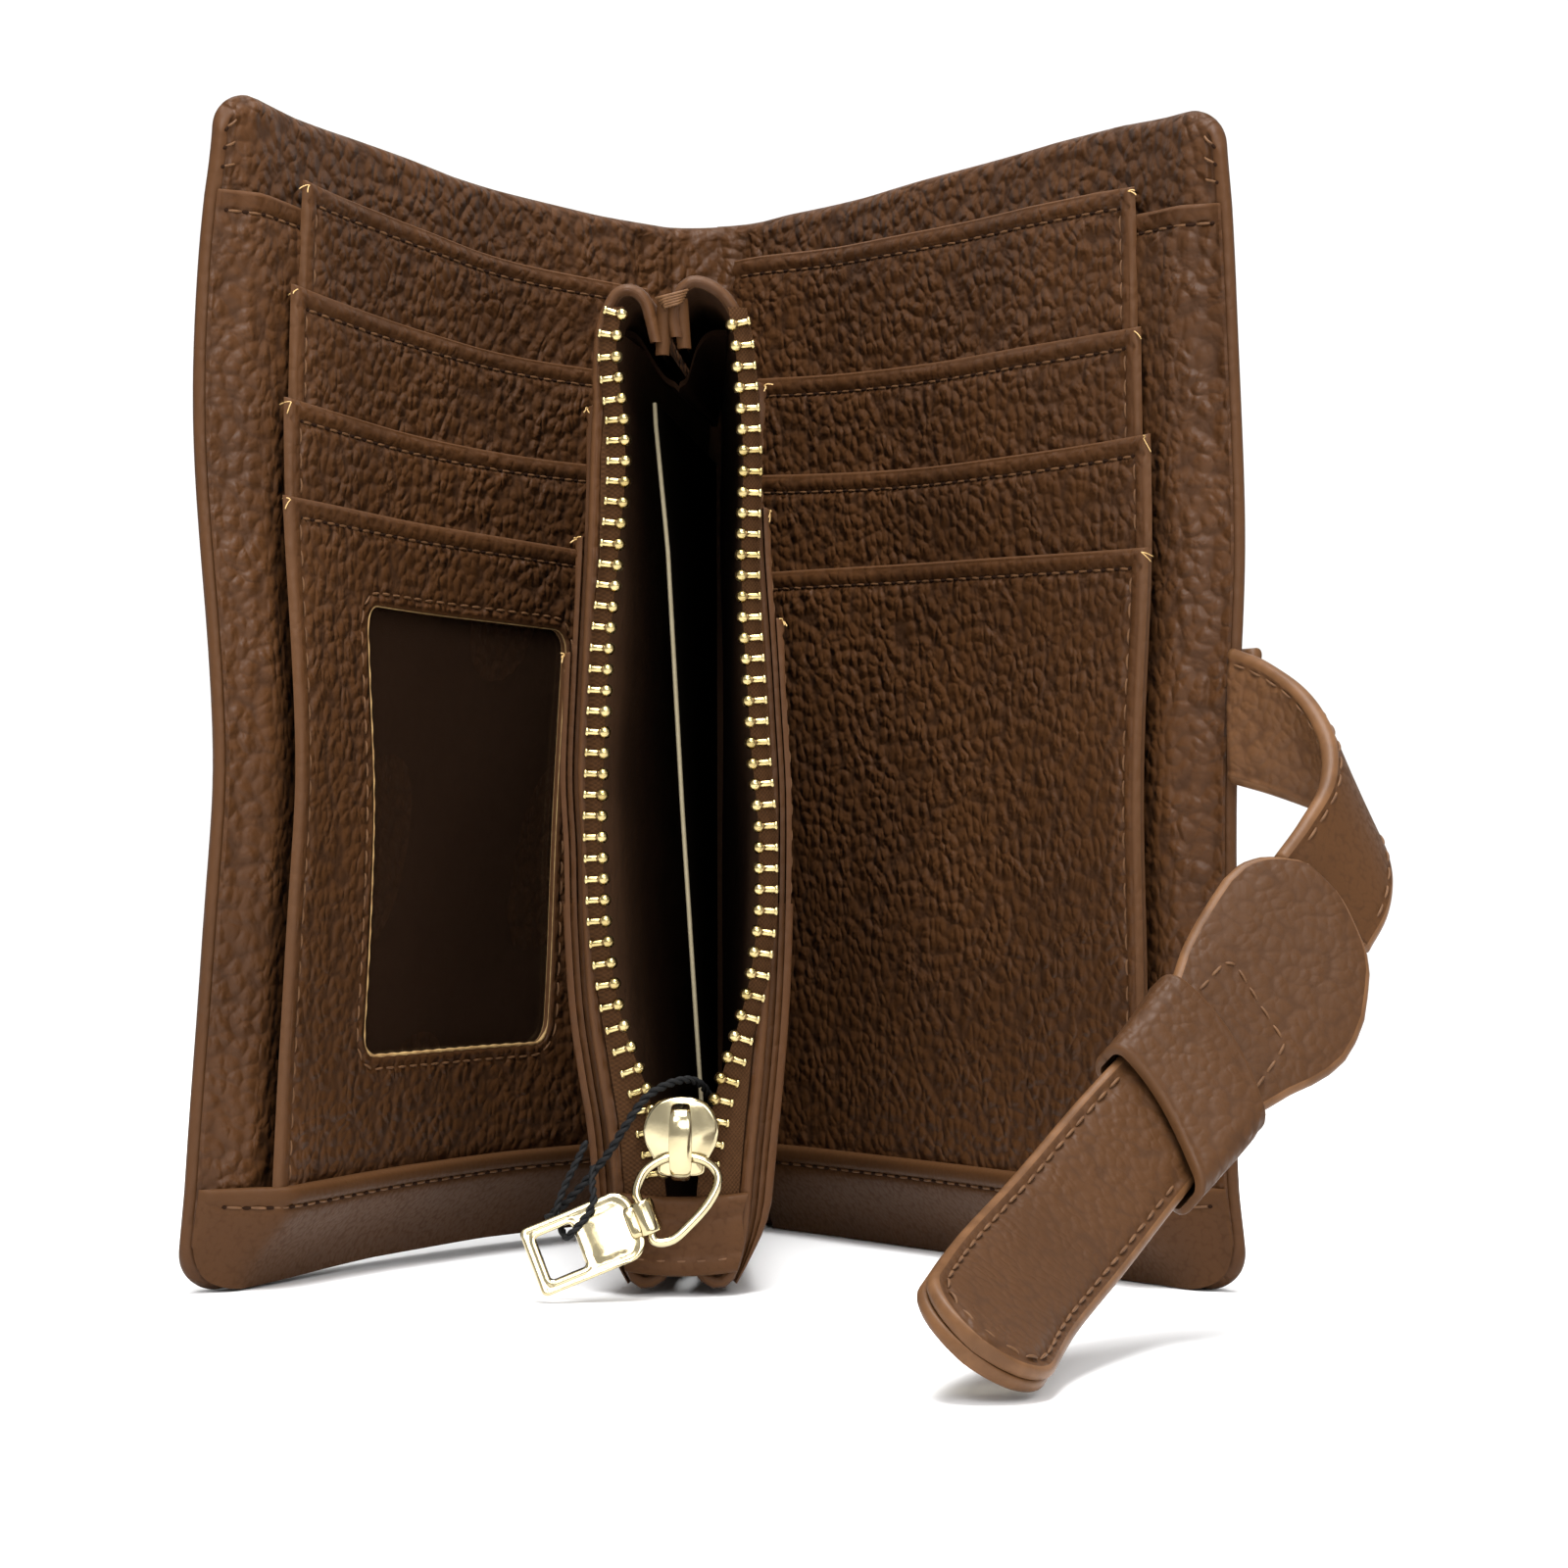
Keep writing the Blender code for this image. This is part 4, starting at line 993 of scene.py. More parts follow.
for side in (-1, 1):
    c_ = catmull(np.array(OUTLINES[side]), 420)
    t_ = unit(np.gradient(c_, axis=0))
    OUT[side] = c_
    LENS[side] = np.concatenate([[0], np.cumsum(np.hypot(*np.diff(c_, axis=0).T))])
    NRMS[side] = np.stack([-t_[:, 1], t_[:, 0]], 1)      # points away from the pocket's inside


def at_len(side, s):
    h, z = np.interp(s, LENS[side], OUT[side][:, 0]), np.interp(s, LENS[side], OUT[side][:, 1])
    return h, z, np.interp(s, LENS[side], NRMS[side][:, 0]), np.interp(s, LENS[side], NRMS[side][:, 1])


def len_at(side, z):
    """Arc length where the outline comes down through height z."""
    o = OUT[side]
    k = int(np.argmax(o[:, 1]))
    low = int(np.argmin(np.where(np.arange(len(o)) > k, o[:, 1], 999)))
    return float(np.interp(-z, -o[k:low + 1, 1], LENS[side][k:low + 1]))


def sway(z, t):
    """The pocket's top leans to the left."""
    return -2.35 * smooth((np.asarray(z, float) - 104) / 12) * t


def pt_of(y):
    return np.clip((BACK_Y - np.asarray(y, float)) / (BACK_Y - FRONT_Y), 0, 1.05)


def wall(side, s, y, n):
    """A point of the pocket's wall: s along its outline, y deep, n outwards."""
    s, y, n = np.broadcast_arrays(*(np.asarray(q, float) for q in (s, y, n)))
    h, z, nx, nz = at_len(side, s)
    t = pt_of(y)
    k = 0.18 + 0.82 * t
    belly = 0.35 * np.sin(z / 17.0 + side) * np.sin(math.pi * t) + 0.2 * np.sin(z / 9.0 + y / 14.0)
    belly = belly * smooth((z - 8) / 20) * smooth((112 - z) / 20)
    x = POCKET_X * t + side * (h * k + (n + belly) * nx) + sway(z, t)
    return np.stack([x, y, np.maximum(z + n * nz, 0.25)], -1)


SPLITS = ((46.0, 0.0, "low"), (112.0, 46.0, "mid"), (999.0, 112.0, "arch"))


def pocket_blend(o, part):
    """Bakes the piece's placement into its mesh; every part is treated the same."""
    if part == "low":
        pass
    elif part == "mid":
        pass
    else:
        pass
    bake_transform(o)


def wall_piece(side, part, s0, s1):
    """Leather outside, rolled over the front edge, and dark fabric inside."""
    word = "left" if side < 0 else "right"
    ss = np.linspace(s0, s1, max(8, int((s1 - s0) / (0.8 if part == "arch" else 1.5))))
    outer = [(y, 0.0) for y in np.concatenate([np.linspace(BACK_Y - 1, -88, 26), np.linspace(-89.5, -95.6, 9)])]
    lip = [(-96.3, .02), (-96.9, -.08), (-97.35, -.28), (-97.6, -.58), (-97.65, -.90), (-97.5, -1.22),
           (-97.1, -1.46), (-96.6, -1.52), (-96.1, -1.40)]
    inner = [(y, -1.15) for y in np.concatenate([np.linspace(-95.4, -88, 8), np.linspace(-85, BACK_Y - 3, 22)])]
    sec = np.array(outer + lip + inner)
    mats = [0] * (len(outer) + len(lip) - 3) + [1] * (len(inner) + 3)
    S, Y = ss[:, None], sec[None, :, 0]
    n = np.broadcast_to(sec[None, :, 1], (len(ss), len(sec))).copy()
    d = np.abs(sec[:, 0] - FRONT_Y + 0.4)
    groove = np.where(np.arange(len(sec)) < len(outer), 0.22 * np.exp(-(((sec[:, 0] + 94.6) / 0.5) ** 2)), 0)
    n = n - groove[None]
    p = wall(side, S, np.broadcast_to(Y, n.shape), n)
    nu, nv = n.shape
    f = []
    fm = []
    for j in range(nv):
        jj = (j + 1) % nv
        for i in range(nu - 1):
            f.append((i * nv + j, i * nv + jj, (i + 1) * nv + jj, (i + 1) * nv + j))
            fm.append(mats[j] if j < nv - 1 else 1)
    e = np.zeros(n.shape)
    # painted highlight along the rolled front edge, brightest at its middle; the grain there is smoothed too
    e[:, len(outer) - 4:len(outer) + 6] = 0.36
    e[:, len(outer) + 2:len(outer) + 4] = 0.62
    o = build(f"coin_pocket_{word}_{part}", p.reshape(-1, 3), f, [pebbled, lining_m], None,
              face_mats=fm, edge=e.ravel(), fix=False)
    # turn the faces outwards: the first ring's first face tells which way they look
    me = o.data
    c = me.polygons[len(ss) // 2]
    if c.normal.x * side < 0:
        me.flip_normals()
    pocket_blend(o, part)
    return o


for side in (-1, 1):
    word = "left" if side < 0 else "right"
    s112, s46 = len_at(side, 112.0), len_at(side, 46.0)
    a = wall_piece(side, "arch", 0.0, s112)
    b = wall_piece(side, "mid", s112, s46)
    c = wall_piece(side, "low", s46, float(LENS[side][-1]))
    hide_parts(f"coin_pocket_wall_{word}", f"coin_pocket_lining_{word}")
    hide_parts("coin_pocket_bottom_gusset")

STEPS = {-1: (104.8, 89.3, 75.5), 1: (107.6, 92.7, 79.5)}


def pocket_slot(side, k):
    word = "left" if side < 0 else "right"
    top = STEPS[side][k]
    y0, y1 = -94.9 - 0.45 * k, -16.0
    n0 = 0.12 + 0.72 * k
    s_top, s_bot, S46 = len_at(side, top), len_at(side, 1.6), len_at(side, 46.0)
    ys = stations(y0, y1, True, False, step=3.0)
    for part, sa, sb in (("mid", s_top, S46), ("low", S46, s_bot)):
        if part == "mid":
            ss = stations(sa, sb, True, False, step=2.2)
        else:
            ss = np.linspace(sa, sb, 24)
        S, Y = np.meshgrid(ss, ys, indexing="ij")
        h = turned(np.minimum(Y - y0, 99), high=0.95, body=0.62, at=1.7, deep=0.26, puff=0.1)
        dt = S - s_top
        h = np.minimum(h, turned(dt, high=0.95, body=0.62, at=2.2, deep=0.32, puff=0.1)) if part == "mid" else h
        fade = 1 - 0.75 * smooth((S - len_at(side, 12.0)) / (s_bot - len_at(side, 12.0)))
        front, back = wall(side, S, Y, (n0 + h) * fade), wall(side, S, Y, n0 * fade + 0 * S)
        v, f = slab(front, back)
        e = np.maximum(rim_mark(Y - y0 + 0.4), rim_mark(np.abs(dt)) if part == "mid" else 0)
        o = build(f"coin_pocket_slot_{word}_{k + 1}_{part}", v, f, pebbled_far, None,
                  edge=np.concatenate([e.ravel(), e.ravel()]), angle=50)
        pocket_blend(o, part)
    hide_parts(f"coin_pocket_slot_{word}_{k + 1}")
    buf = Buffer()
    yy = np.linspace(y0 + 2, y1, 30)
    p = wall(side, s_top + 2.2, yy, n0 + 0.66)
    sew(buf, p, np.tile([side, 0, 0], (len(yy), 1)), 3.0)
    sz = np.linspace(s_top + 2.4, len_at(side, STEPS[side][k + 1]) if k < 2 else S46 - 0.3, 20)
    sew(buf, wall(side, sz, y0 + 1.6, n0 + 0.60), np.tile([side, 0, 0], (len(sz), 1)), 3.0)
    at = wall(side, s_top + 0.4, y0 + 0.3, n0 + 0.7)
    o = buf.make(f"coin_pocket_stitch_{word}_{k + 1}", thread_m, None, "pebbled_leather")
    pocket_blend(o, "mid")
    tb = Buffer()
    for j in range(3):
        tail(tb, at, (side * 0.5, -0.8, rng.normal(0, .6)), length=0.7 + 0.5 * rng.random())
    o = tb.make(f"coin_pocket_tails_{word}_{k + 1}", tail_m, None, "pebbled_leather")
    pocket_blend(o, "mid")


for side in (-1, 1):
    for k in range(3):
        pocket_slot(side, k)


# the folded gusset at the top of the pocket, a V between the two arches; its nearly black colour is painted shade deep
# in the V
def top_gusset():
    ys = np.concatenate([[-84.0, -83.6, -83.0], np.linspace(-81.5, -10, 24)])
    fs = np.linspace(-1, 1, 25)
    Y, F = np.meshgrid(ys, fs, indexing="ij")
    t = pt_of(Y)
    half = 7.6 * (0.18 + 0.82 * t)
    fold = 1 - np.abs(F)
    z = 116.4 - 9.5 * np.sqrt(fold * fold + 0.004) * (0.55 + 0.45 * t) + 0.8 * np.cos(F * 9)
    x = POCKET_X * t + F * half * (1 - 0.55 * fold) + sway(z + 2.0, t)
    p = np.stack([x, Y, z], -1)
    q = p.copy()
    q[..., 2] -= 0.7
    v, f = slab(p, q)
    e = 0.0 * Y
    o = build("coin_pocket_top_gusset_leather", v, f, [gusset_shade_m], "root",
              edge=np.concatenate([e.ravel(), e.ravel()]), angle=60)
    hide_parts("coin_pocket_top_gusset")


top_gusset()


def top_tabs():
    """The zip tape's two ends, folded down between the arches, and the bar of thread that holds them."""
    for name, x, dx, top_, low_ in (("a", -4.6, -0.35, 117.0, 110.6), ("b", -2.9, 0.55, 117.2, 111.4)):
        zs = np.linspace(low_, top_, 16)
        fs = np.linspace(-1, 1, 9)
        Z, F = np.meshgrid(zs, fs, indexing="ij")
        t = (top_ - Z) / (top_ - low_)
        w = 0.95 - 0.15 * t
        X = x + dx * t + F * w
        Y = -97.3 + 0.5 * F * F + 0.5 * t
        p = np.stack([X, Y, Z], -1)
        q = p + [0, 0.8, 0]
        v, f = slab(p, q)
        # painted highlight along the sides of the folded ends
        e = np.where(np.abs(F) > 0.85, 0.6, 0.32)
        build(f"zip_tape_end_{name}", v, f, smooth_l, "root",
              edge=np.concatenate([e.ravel(), e.ravel()]), angle=50)
    b = Buffer()
    for k in range(5):
        z = 117.3 - 0.32 * k
        b.add(*tube([(-5.7 + 0.3 * k, -97.6, z - 0.2), (-4.6, -98.2, z), (-3.2, -98.25, z + 0.35), (-1.9 - 0.15 * k, -97.6, z + 0.8)], 0.17, 6))
    b.make("zip_tape_end_thread", thread_m, "root", "pebbled_leather")


top_tabs()


def pocket_back():
    """The seam at the spine where the pocket's two walls meet."""
    zs, fs = np.linspace(1.5, 116.0, 60), np.linspace(-1, 1, 9)
    Z, F = np.meshgrid(zs, fs, indexing="ij")
    half = 2.35 * np.clip((117.5 - Z) / 8.0, 0.35, 1)
    p = np.stack([F * half, -9.6 + 1.3 * F * F, Z], -1)
    v, f = slab(p, p + [0, 0.9, 0])
    build("coin_pocket_back_seam", v, f, lining_m, "root", angle=50)


pocket_back()


def divider():
    ys = np.concatenate([[-86.9, -86.75, -86.4, -85.8], np.linspace(-84, -8, 24)])
    zs = np.linspace(6.0, 106.0, 40)
    Y, Z = np.meshgrid(ys, zs, indexing="ij")
    t = pt_of(Y)
    x = np.interp(Z, [6, 22, 56.7, 88.4, 104.8], [0.2, -0.5, -2.8, -4.6, -6.2]) * t / float(pt_of(-86.9))
    w = 0.27 * np.sqrt(np.clip(1 - (1 - np.clip((Y + 86.9) / 0.35, 0, 1)) ** 2, 0.03, 1))
    a, b = np.stack([x - w, Y, Z], -1), np.stack([x + w, Y, Z], -1)
    v, f = slab(a, b)
    fm = np.zeros(len(f), int)
    cy = v[f][:, :, 1].mean(1)
    fm[cy < -86.55] = 1
    o = build("coin_divider_card", v, f, [divider_m, olive_m], "root", face_mats=fm, angle=50)
    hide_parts("coin_divider")


divider()


# ------------------------------------------------------------------ zip
def row_half(z):
    z = np.asarray(z, float)
    low = smooth((z - 10.0) / 36.0)
    t = (z - 46.0) / 150.0
    high = 1 - t * t * (3 - 2 * t)
    return 1.6 + 7.7 * np.where(z <= 46.0, low, high)


# where each open row really runs: distance of its beads' inner edge from the middle plane
ROWS = {
    -1: ([22.7, 24.7, 29, 33.6, 43, 54.8, 61.7, 69, 76.6, 86, 88.6, 91, 93.6, 96, 98.6, 103.6, 106, 110.8, 113.4, 116],
         [2.75, 3.45, 5.15, 6.64, 8.14, 8.68, 8.48, 8.2, 7.8, 6.8, 6.6, 6.37, 6.1, 5.9, 5.87, 6.1, 6.5, 7.1, 6.9, 5.9]),
    1: ([21.6, 24, 28.4, 33, 37.8, 45, 54.5, 59, 64, 69, 73.8, 78.6, 86, 91, 98, 106, 108, 112.8, 115.7],
        [2.79, 3.37, 4.85, 6.33, 7.47, 8.38, 8.38, 7.97, 7.47, 7.17, 6.88, 6.5, 6.25, 6.36, 6.6, 6.1, 5.87, 5.5, 4.6])}
ROW_Z = np.linspace(4, 118, 458)
ROW_H = {}
for side in (-1, 1):
    h_ = np.interp(ROW_Z, *ROWS[side]) + 0.6
    low_ = smooth((ROW_Z - 17.5) / 5.0)
    h_ = row_half(ROW_Z) * (1 - low_) + h_ * low_
    k_ = np.exp(-(np.linspace(-4, 4, 33) ** 2) / 3.0)
    pad_ = np.concatenate([np.full(16, h_[0]), h_, np.full(16, h_[-1])])
    ROW_H[side] = np.convolve(pad_, k_ / k_.sum(), "valid")


def zip_half(side, z):
    return np.interp(z, ROW_Z, ROW_H[side])


def row_blend(o, part):
    if part == "low":
        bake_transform(o)
    else:
        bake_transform(o)


TOOTH_Z0, TEETH, PITCH = 14.0, 42, 2.45
for side in (-1, 1):
    word = "left" if side < 0 else "right"
    bufs = {"low": Buffer(), "high": Buffer()}
    for i in range(TEETH - (side > 0)):
        z = TOOTH_Z0 + 0.575 + (PITCH / 2 if side > 0 else 0) + i * PITCH
        dz = 0.5
        slope = float((zip_half(side, z + dz) - zip_half(side, z - dz)) / (2 * dz))
        ang = math.atan(slope)
        # across points from the bead out to the tooth's legs, along follows the row
        across = np.array([side * math.cos(ang), 0, -math.sin(ang)])
        along = np.array([side * math.sin(ang), 0, math.cos(ang)])
        deep = np.array([0, 1.0, 0])
        c = np.array([POCKET_X + side * float(zip_half(side, z)) + float(sway(z, 1.0)) * 0.0, -98.25, z])
        b = bufs["low" if z < 46 else "high"]
        # the leg clamped on the tape, the round bead, and a darker disc on the bead: painted shade of the dimple
        # stamped in it
        b.add(*superball(c + across * 1.30, across * 1.00, along * 0.40, deep * 0.66, e=0.55))
        b.add(*superball(c + across * 0.10 - deep * 0.30, across * 0.76, along * 0.76, deep * 0.92, e=0.95, nu=16, nv=11))
        b.add(*superball(c + across * 2.15, across * 0.26, along * 0.54, deep * 0.62, e=0.6, nu=10, nv=6))
        b.add(*superball(c + across * 0.62 - deep * 0.88, across * 0.26, along * 0.36, deep * 0.16, e=0.9, nu=8, nv=6), mat=1)
    for part, b in bufs.items():
        o = b.make(f"zip_teeth_{word}_{part}", [brass_m, brass_dimple_shade], None, "zip_brass", fix=True)
        row_blend(o, part)
        if part == "high":
            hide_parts(f"zip_teeth_{word}")
    for part, za, zb in (("low", 5.0, 46.0), ("high", 46.0, 116.0)):
        zs = np.linspace(za, zb, 30 if part == "low" else 46)
        fr = np.linspace(0, 1, 9)
        Z, F = np.meshgrid(zs, fr, indexing="ij")
        a = zip_half(side, Z) + 0.1
        o_ = np.array(OUTLINES[side])[5:25][::-1]
        hw = np.interp(Z, o_[:, 1], o_[:, 0]) - side * sway(Z, 1.0) * -1.0
        b = np.maximum(hw - 1.5, a + 2.2)
        x = POCKET_X + side * (a + (b - a) * F)
        y = -98.40 + 0.9 * F * F + 0.10 * np.cos(Z * 2.6 + 3 * F) * F
        p = np.stack([x, y, Z], -1)
        q = p + [0, 0.42, 0]
        v, f = slab(p, q)
        o = build(f"zip_tape_{word}_{part}_cloth", v, f, tape_m, None, angle=50)
        row_blend(o, part)
        if part == "high":
            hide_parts(f"zip_tape_{word}")


def plate(buf, outline, y0, y1, bevel, place, mat=0, rings=5, crown=0.0):
    """A flat piece with rounded edges from a 2-D outline; place(a, b, y) maps it."""
    o = np.array(outline, float)
    n = len(o)
    c = o.mean(0)
    tan = unit(np.roll(o, -1, 0) - np.roll(o, 1, 0))
    nr = np.stack([tan[:, 1], -tan[:, 0]], 1)
    if ((o - c) * nr).sum() < 0:
        nr = -nr
    layers = []
    for t in np.linspace(0, math.pi / 2, rings):
        layers.append((bevel * (1 - math.sin(t)), y0 + bevel * (1 - math.cos(t)) if False else y0 + bevel * (1 - math.cos(t))))
    prof = [(bevel * (1 - math.sin(t)), y0 + bevel * (1 - math.cos(t))) for t in np.linspace(0, math.pi / 2, rings)]
    prof += [(bevel * (1 - math.sin(t)), y1 - bevel * (1 - math.cos(t))) for t in np.linspace(math.pi / 2, 0, rings)]
    verts, faces = [], []
    for inset, y in prof:
        for q in o - nr * inset:
            verts.append(place(q[0], q[1], y))
    m = len(prof)
    for i in range(m - 1):
        for k in range(n):
            l = (k + 1) % n
            faces.append((i * n + k, i * n + l, (i + 1) * n + l, (i + 1) * n + k))
    # crowned front: rings that shrink towards the middle
    start, base = 0, o - nr * prof[0][0]
    for q in np.linspace(0, 1, 9)[1:-1]:
        at0 = len(verts)
        for p_ in c + (base - c) * (1 - q):
            verts.append(place(p_[0], p_[1], y0 - crown * (1 - (1 - q) ** 2)))
        for k in range(n):
            l = (k + 1) % n
            faces.append((at0 + k, at0 + l, start + l, start + k))
        start = at0
    verts.append(place(c[0], c[1], y0 - crown))
    verts.append(place(c[0], c[1], y1))
    for k in range(n):
        l = (k + 1) % n
        faces.append((len(verts) - 2, start + k, start + l))
        faces.append((len(verts) - 1, (m - 1) * n + l, (m - 1) * n + k))
    buf.add(verts, faces, mat)


def slider():
    b = Buffer()
    zc = 18.95
    # shield outline: broad shoulders above, drawn in below
    half = [(0.0, 4.6), (1.6, 4.45), (3.0, 3.75), (4.0, 2.4), (4.45, 0.8), (4.2, -0.8), (3.5, -2.2), (2.9, -3.4),
            (2.7, -4.3), (2.0, -4.7), (0.9, -4.75), (0.0, -4.75)]
    ring = catmull(half, 30)
    outline = np.concatenate([ring, (ring * [-1, 1])[::-1][1:-1]])
    at = lambda a, c, y: (POCKET_X + a, y, zc + c)
    plate(b, outline, -100.70, -99.60, 0.5, at, crown=0.40)
    plate(b, outline * [0.48, 0.80], -97.0, -96.1, 0.35, at)
    # post between the wings
    b.add(*superball(np.array([POCKET_X, -98.3, 22.0]), np.array([0.75, 0, 0]), np.array([0, 1.5, 0]), np.array([0, 0, 1.3]), e=0.6))
    # bridge
    path = catmull([(0, -100.4, 22.4), (0, -101.6, 22.3), (0, -102.9, 21.6), (0, -103.5, 20.2), (0, -103.6, 18.2),
                    (0, -103.5, 16.2), (0, -102.9, 14.9), (0, -101.8, 14.3), (0, -100.5, 14.3)], 34)
    th = np.linspace(0, 2 * math.pi, 16, endpoint=False)
    tan = unit(np.gradient(path, axis=0))
    verts, faces = [], []
    k = 16
    wide = 1.05 + 0.30 * np.sin(np.linspace(0, math.pi, len(path))) ** 2
    for i, (p, t) in enumerate(zip(path, tan)):
        side_v = np.array([1.0, 0, 0])
        n = np.cross(t, side_v)
        for a in th:
            c, s = math.cos(a), math.sin(a)
            c, s = np.sign(c) * abs(c) ** 0.6, np.sign(s) * abs(s) ** 0.6
            verts.append(p + [POCKET_X, 0, 0] + side_v * c * wide[i] + n * s * 0.50)
    for i in range(len(path) - 1):
        for q in range(k):
            r = (q + 1) % k
            faces.append((i * k + q, i * k + r, (i + 1) * k + r, (i + 1) * k + q))
    faces += [tuple(range(k))[::-1], tuple(range((len(path) - 1) * k, len(path) * k))]
    b.add(verts, faces)
    o = b.make("zip_slider_metal", gold_m, "zip_slider", "pale_gold", fix=True, angle=35)
    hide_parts("zip_slider_body")


slider()

BRIDGE_X, BRIDGE_Z = POCKET_X, 16.4


def hang(dx, dz, dy=0.0):
    return (BRIDGE_X + dx, -101.8 + 0.25 * dz + dy, BRIDGE_Z + dz)


BETA = math.radians(22.0)
P_DIR, Q_DIR = (-math.cos(BETA), -math.sin(BETA)), (-math.sin(BETA), math.cos(BETA))
BAR = (-4.0, -6.6)
corner = [(BAR[0] + s * 3.0 * Q_DIR[0], BAR[1] + s * 3.0 * Q_DIR[1]) for s in (1, -1)]
loop = [corner[0], (-4.3, -1.6), (-2.6, -0.3), (-1.0, 0.15), (1.0, 0.15), (3.0, -0.4), (4.2, -1.6), (4.2, -3.2),
        (3.0, -5.4), (1.0, -7.6), (-0.9, -9.2), corner[1]]
# keep the straight bar straight by adding points on it
loop = loop + [(corner[1][0] * (1 - t) + corner[0][0] * t, corner[1][1] * (1 - t) + corner[0][1] * t) for t in (0.3, 0.7)]
pts = np.array([hang(*p) for p in catmull(loop, 110, closed=True)])
v, f = tube(pts, 0.56, 12, closed=True)
o = build("zip_link_wire", v, f, gold_m, "pull_link")
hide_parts("zip_pull_link")


def pull_plate():
    b = Buffer()

    def at(a, c, y):
        return hang(BAR[0] + a * P_DIR[0] + c * Q_DIR[0], BAR[1] + a * P_DIR[1] + c * Q_DIR[1], y)

    outer = round_rect(0.95, 14.2, -4.1, 4.1, 0.75, 640)
    soft = round_rect(0.95, 14.2, -4.1, 4.1, 2.2, 640)
    inner = round_rect(8.3, 12.7, -2.6, 2.6, 0.45, 160)
    # start both outlines at the same direction from the window's middle
    c = np.array([10.5, 0.0])
    ang_i = np.unwrap(np.arctan2(*(inner - c).T[::-1]))
    ang_o = np.unwrap(np.arctan2(*(outer - c).T[::-1]))
    grid = np.linspace(0, 2 * math.pi, 160, endpoint=False)

    def by_angle(pts, ang):
        a = np.concatenate([ang, [ang[0] + 2 * math.pi]])
        p = np.concatenate([pts, pts[:1]])
        g = (grid - a[0]) % (2 * math.pi) + a[0]
        return np.stack([np.interp(g, a, p[:, 0]), np.interp(g, a, p[:, 1])], 1)

    ang_s = np.unwrap(np.arctan2(*(soft - c).T[::-1]))
    outer, inner, soft = by_angle(outer, ang_o), by_angle(inner, ang_i), by_angle(soft, ang_s)
    # the corners beside the link are rounder than the far ones
    outer = np.where((outer[:, 0] < 7.0)[:, None], soft, outer)
    fr = np.concatenate([[0, .012, .04, .08, .14], np.linspace(.2, .8, 7), [.86, .92, .96, .988, 1]])
    P = inner[:, None] + (outer - inner)[:, None] * fr[None, :, None]
    to_rim = np.min(np.hypot(P[..., 0][..., None] - outer[:, 0], P[..., 1][..., None] - outer[:, 1]), axis=-1)
    d = np.minimum(to_rim,
                   box_sdf(P[..., 0], P[..., 1], 8.3, 12.7, -2.6, 2.6, 0.45))
    r = 0.32
    h = 0.60 - r + r * np.sqrt(np.clip(1 - (1 - np.clip(np.maximum(d, 0) / r, 0, 1)) ** 2, 0, 1))
    h = h - 0.10 * smooth((d - 0.55) / 0.3) * smooth((1.6 - d) / 0.3)
    front = np.array([[at(P[i, j, 0], P[i, j, 1], -h[i, j]) for j in range(P.shape[1])] for i in range(P.shape[0])])
    back = np.array([[at(P[i, j, 0], P[i, j, 1], h[i, j]) for j in range(P.shape[1])] for i in range(P.shape[0])])
    v, f = slab(front, back, wrap=True)
    b.add(v, f)
    # the lug folded round the link's bar
    th = np.linspace(math.radians(38), math.radians(322), 22)
    outer_r, inner_r = 1.42, 0.86
    for q0, q1 in ((-1.9, 1.9),):
        qs = np.array([q0, q0 + .12, q0 + .4, 0, q1 - .4, q1 - .12, q1])
        T, Q = np.meshgrid(th, qs, indexing="ij")
        round_off = 0.14 * np.exp(-((np.minimum(Q - q0, q1 - Q) / 0.14) ** 2))
        fo = np.array([[at(math.cos(t) * (outer_r - ro), q, math.sin(t) * (outer_r - ro)) for t, q, ro in zip(a, c_, rr)]
                       for a, c_, rr in zip(T, Q, round_off)])
        fi = np.array([[at(math.cos(t) * inner_r, q, math.sin(t) * inner_r) for t, q in zip(a, c_)] for a, c_ in zip(T, Q)])
        v, f = slab(fo, fi)
        b.add(v, f)
    b.add(*superball(np.array(at(1.55, 0, 0)), np.array(at(1.55 + .75, 0, 0)) - at(1.55, 0, 0),
                     np.array(at(1.55, 1.9, 0)) - at(1.55, 0, 0), np.array([0, 1.2, 0]), e=0.4))
    o = b.make("zip_pull_tab", gold_m, "pull_plate", "pale_gold", fix=True, angle=40)
    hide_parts("zip_pull_plate")
    # black thread looped through the window
    loop = [(3.6, 7.6, 0.9), (4.4, 5.6, -0.6), (4.6, 4.5, -1.25), (5.6, 3.2, -1.15), (7.0, 2.3, -1.05), (8.3, 1.7, -1.0),
            (9.1, 1.3, -0.5), (9.5, 1.5, 0.6), (9.7, 3.0, 1.1), (9.3, 4.6, 1.0), (7.6, 6.6, 0.9), (5.4, 8.6, 0.2), (3.2, 10.6, -0.3)]
    run = catmull(np.array(loop), 120)
    line_ = np.array([at(*q) for q in run])
    tn_ = unit(np.gradient(line_, axis=0))
    sd_ = unit(np.cross(tn_, [0, 1.0, 0.2]))
    up_ = np.cross(tn_, sd_)
    ph_ = np.cumsum(np.concatenate([[0], np.linalg.norm(np.diff(line_, axis=0), axis=1)])) * 2 * math.pi / 2.4
    tw = Buffer()
    for k in (0, math.pi):
        tw.add(*tube(line_ + sd_ * (0.21 * np.cos(ph_ + k))[:, None] + up_ * (0.21 * np.sin(ph_ + k))[:, None], 0.25, 7))
    tw.make("tag_thread_loop", black_m, "pull_plate", "black_thread", fix=True)


pull_plate()


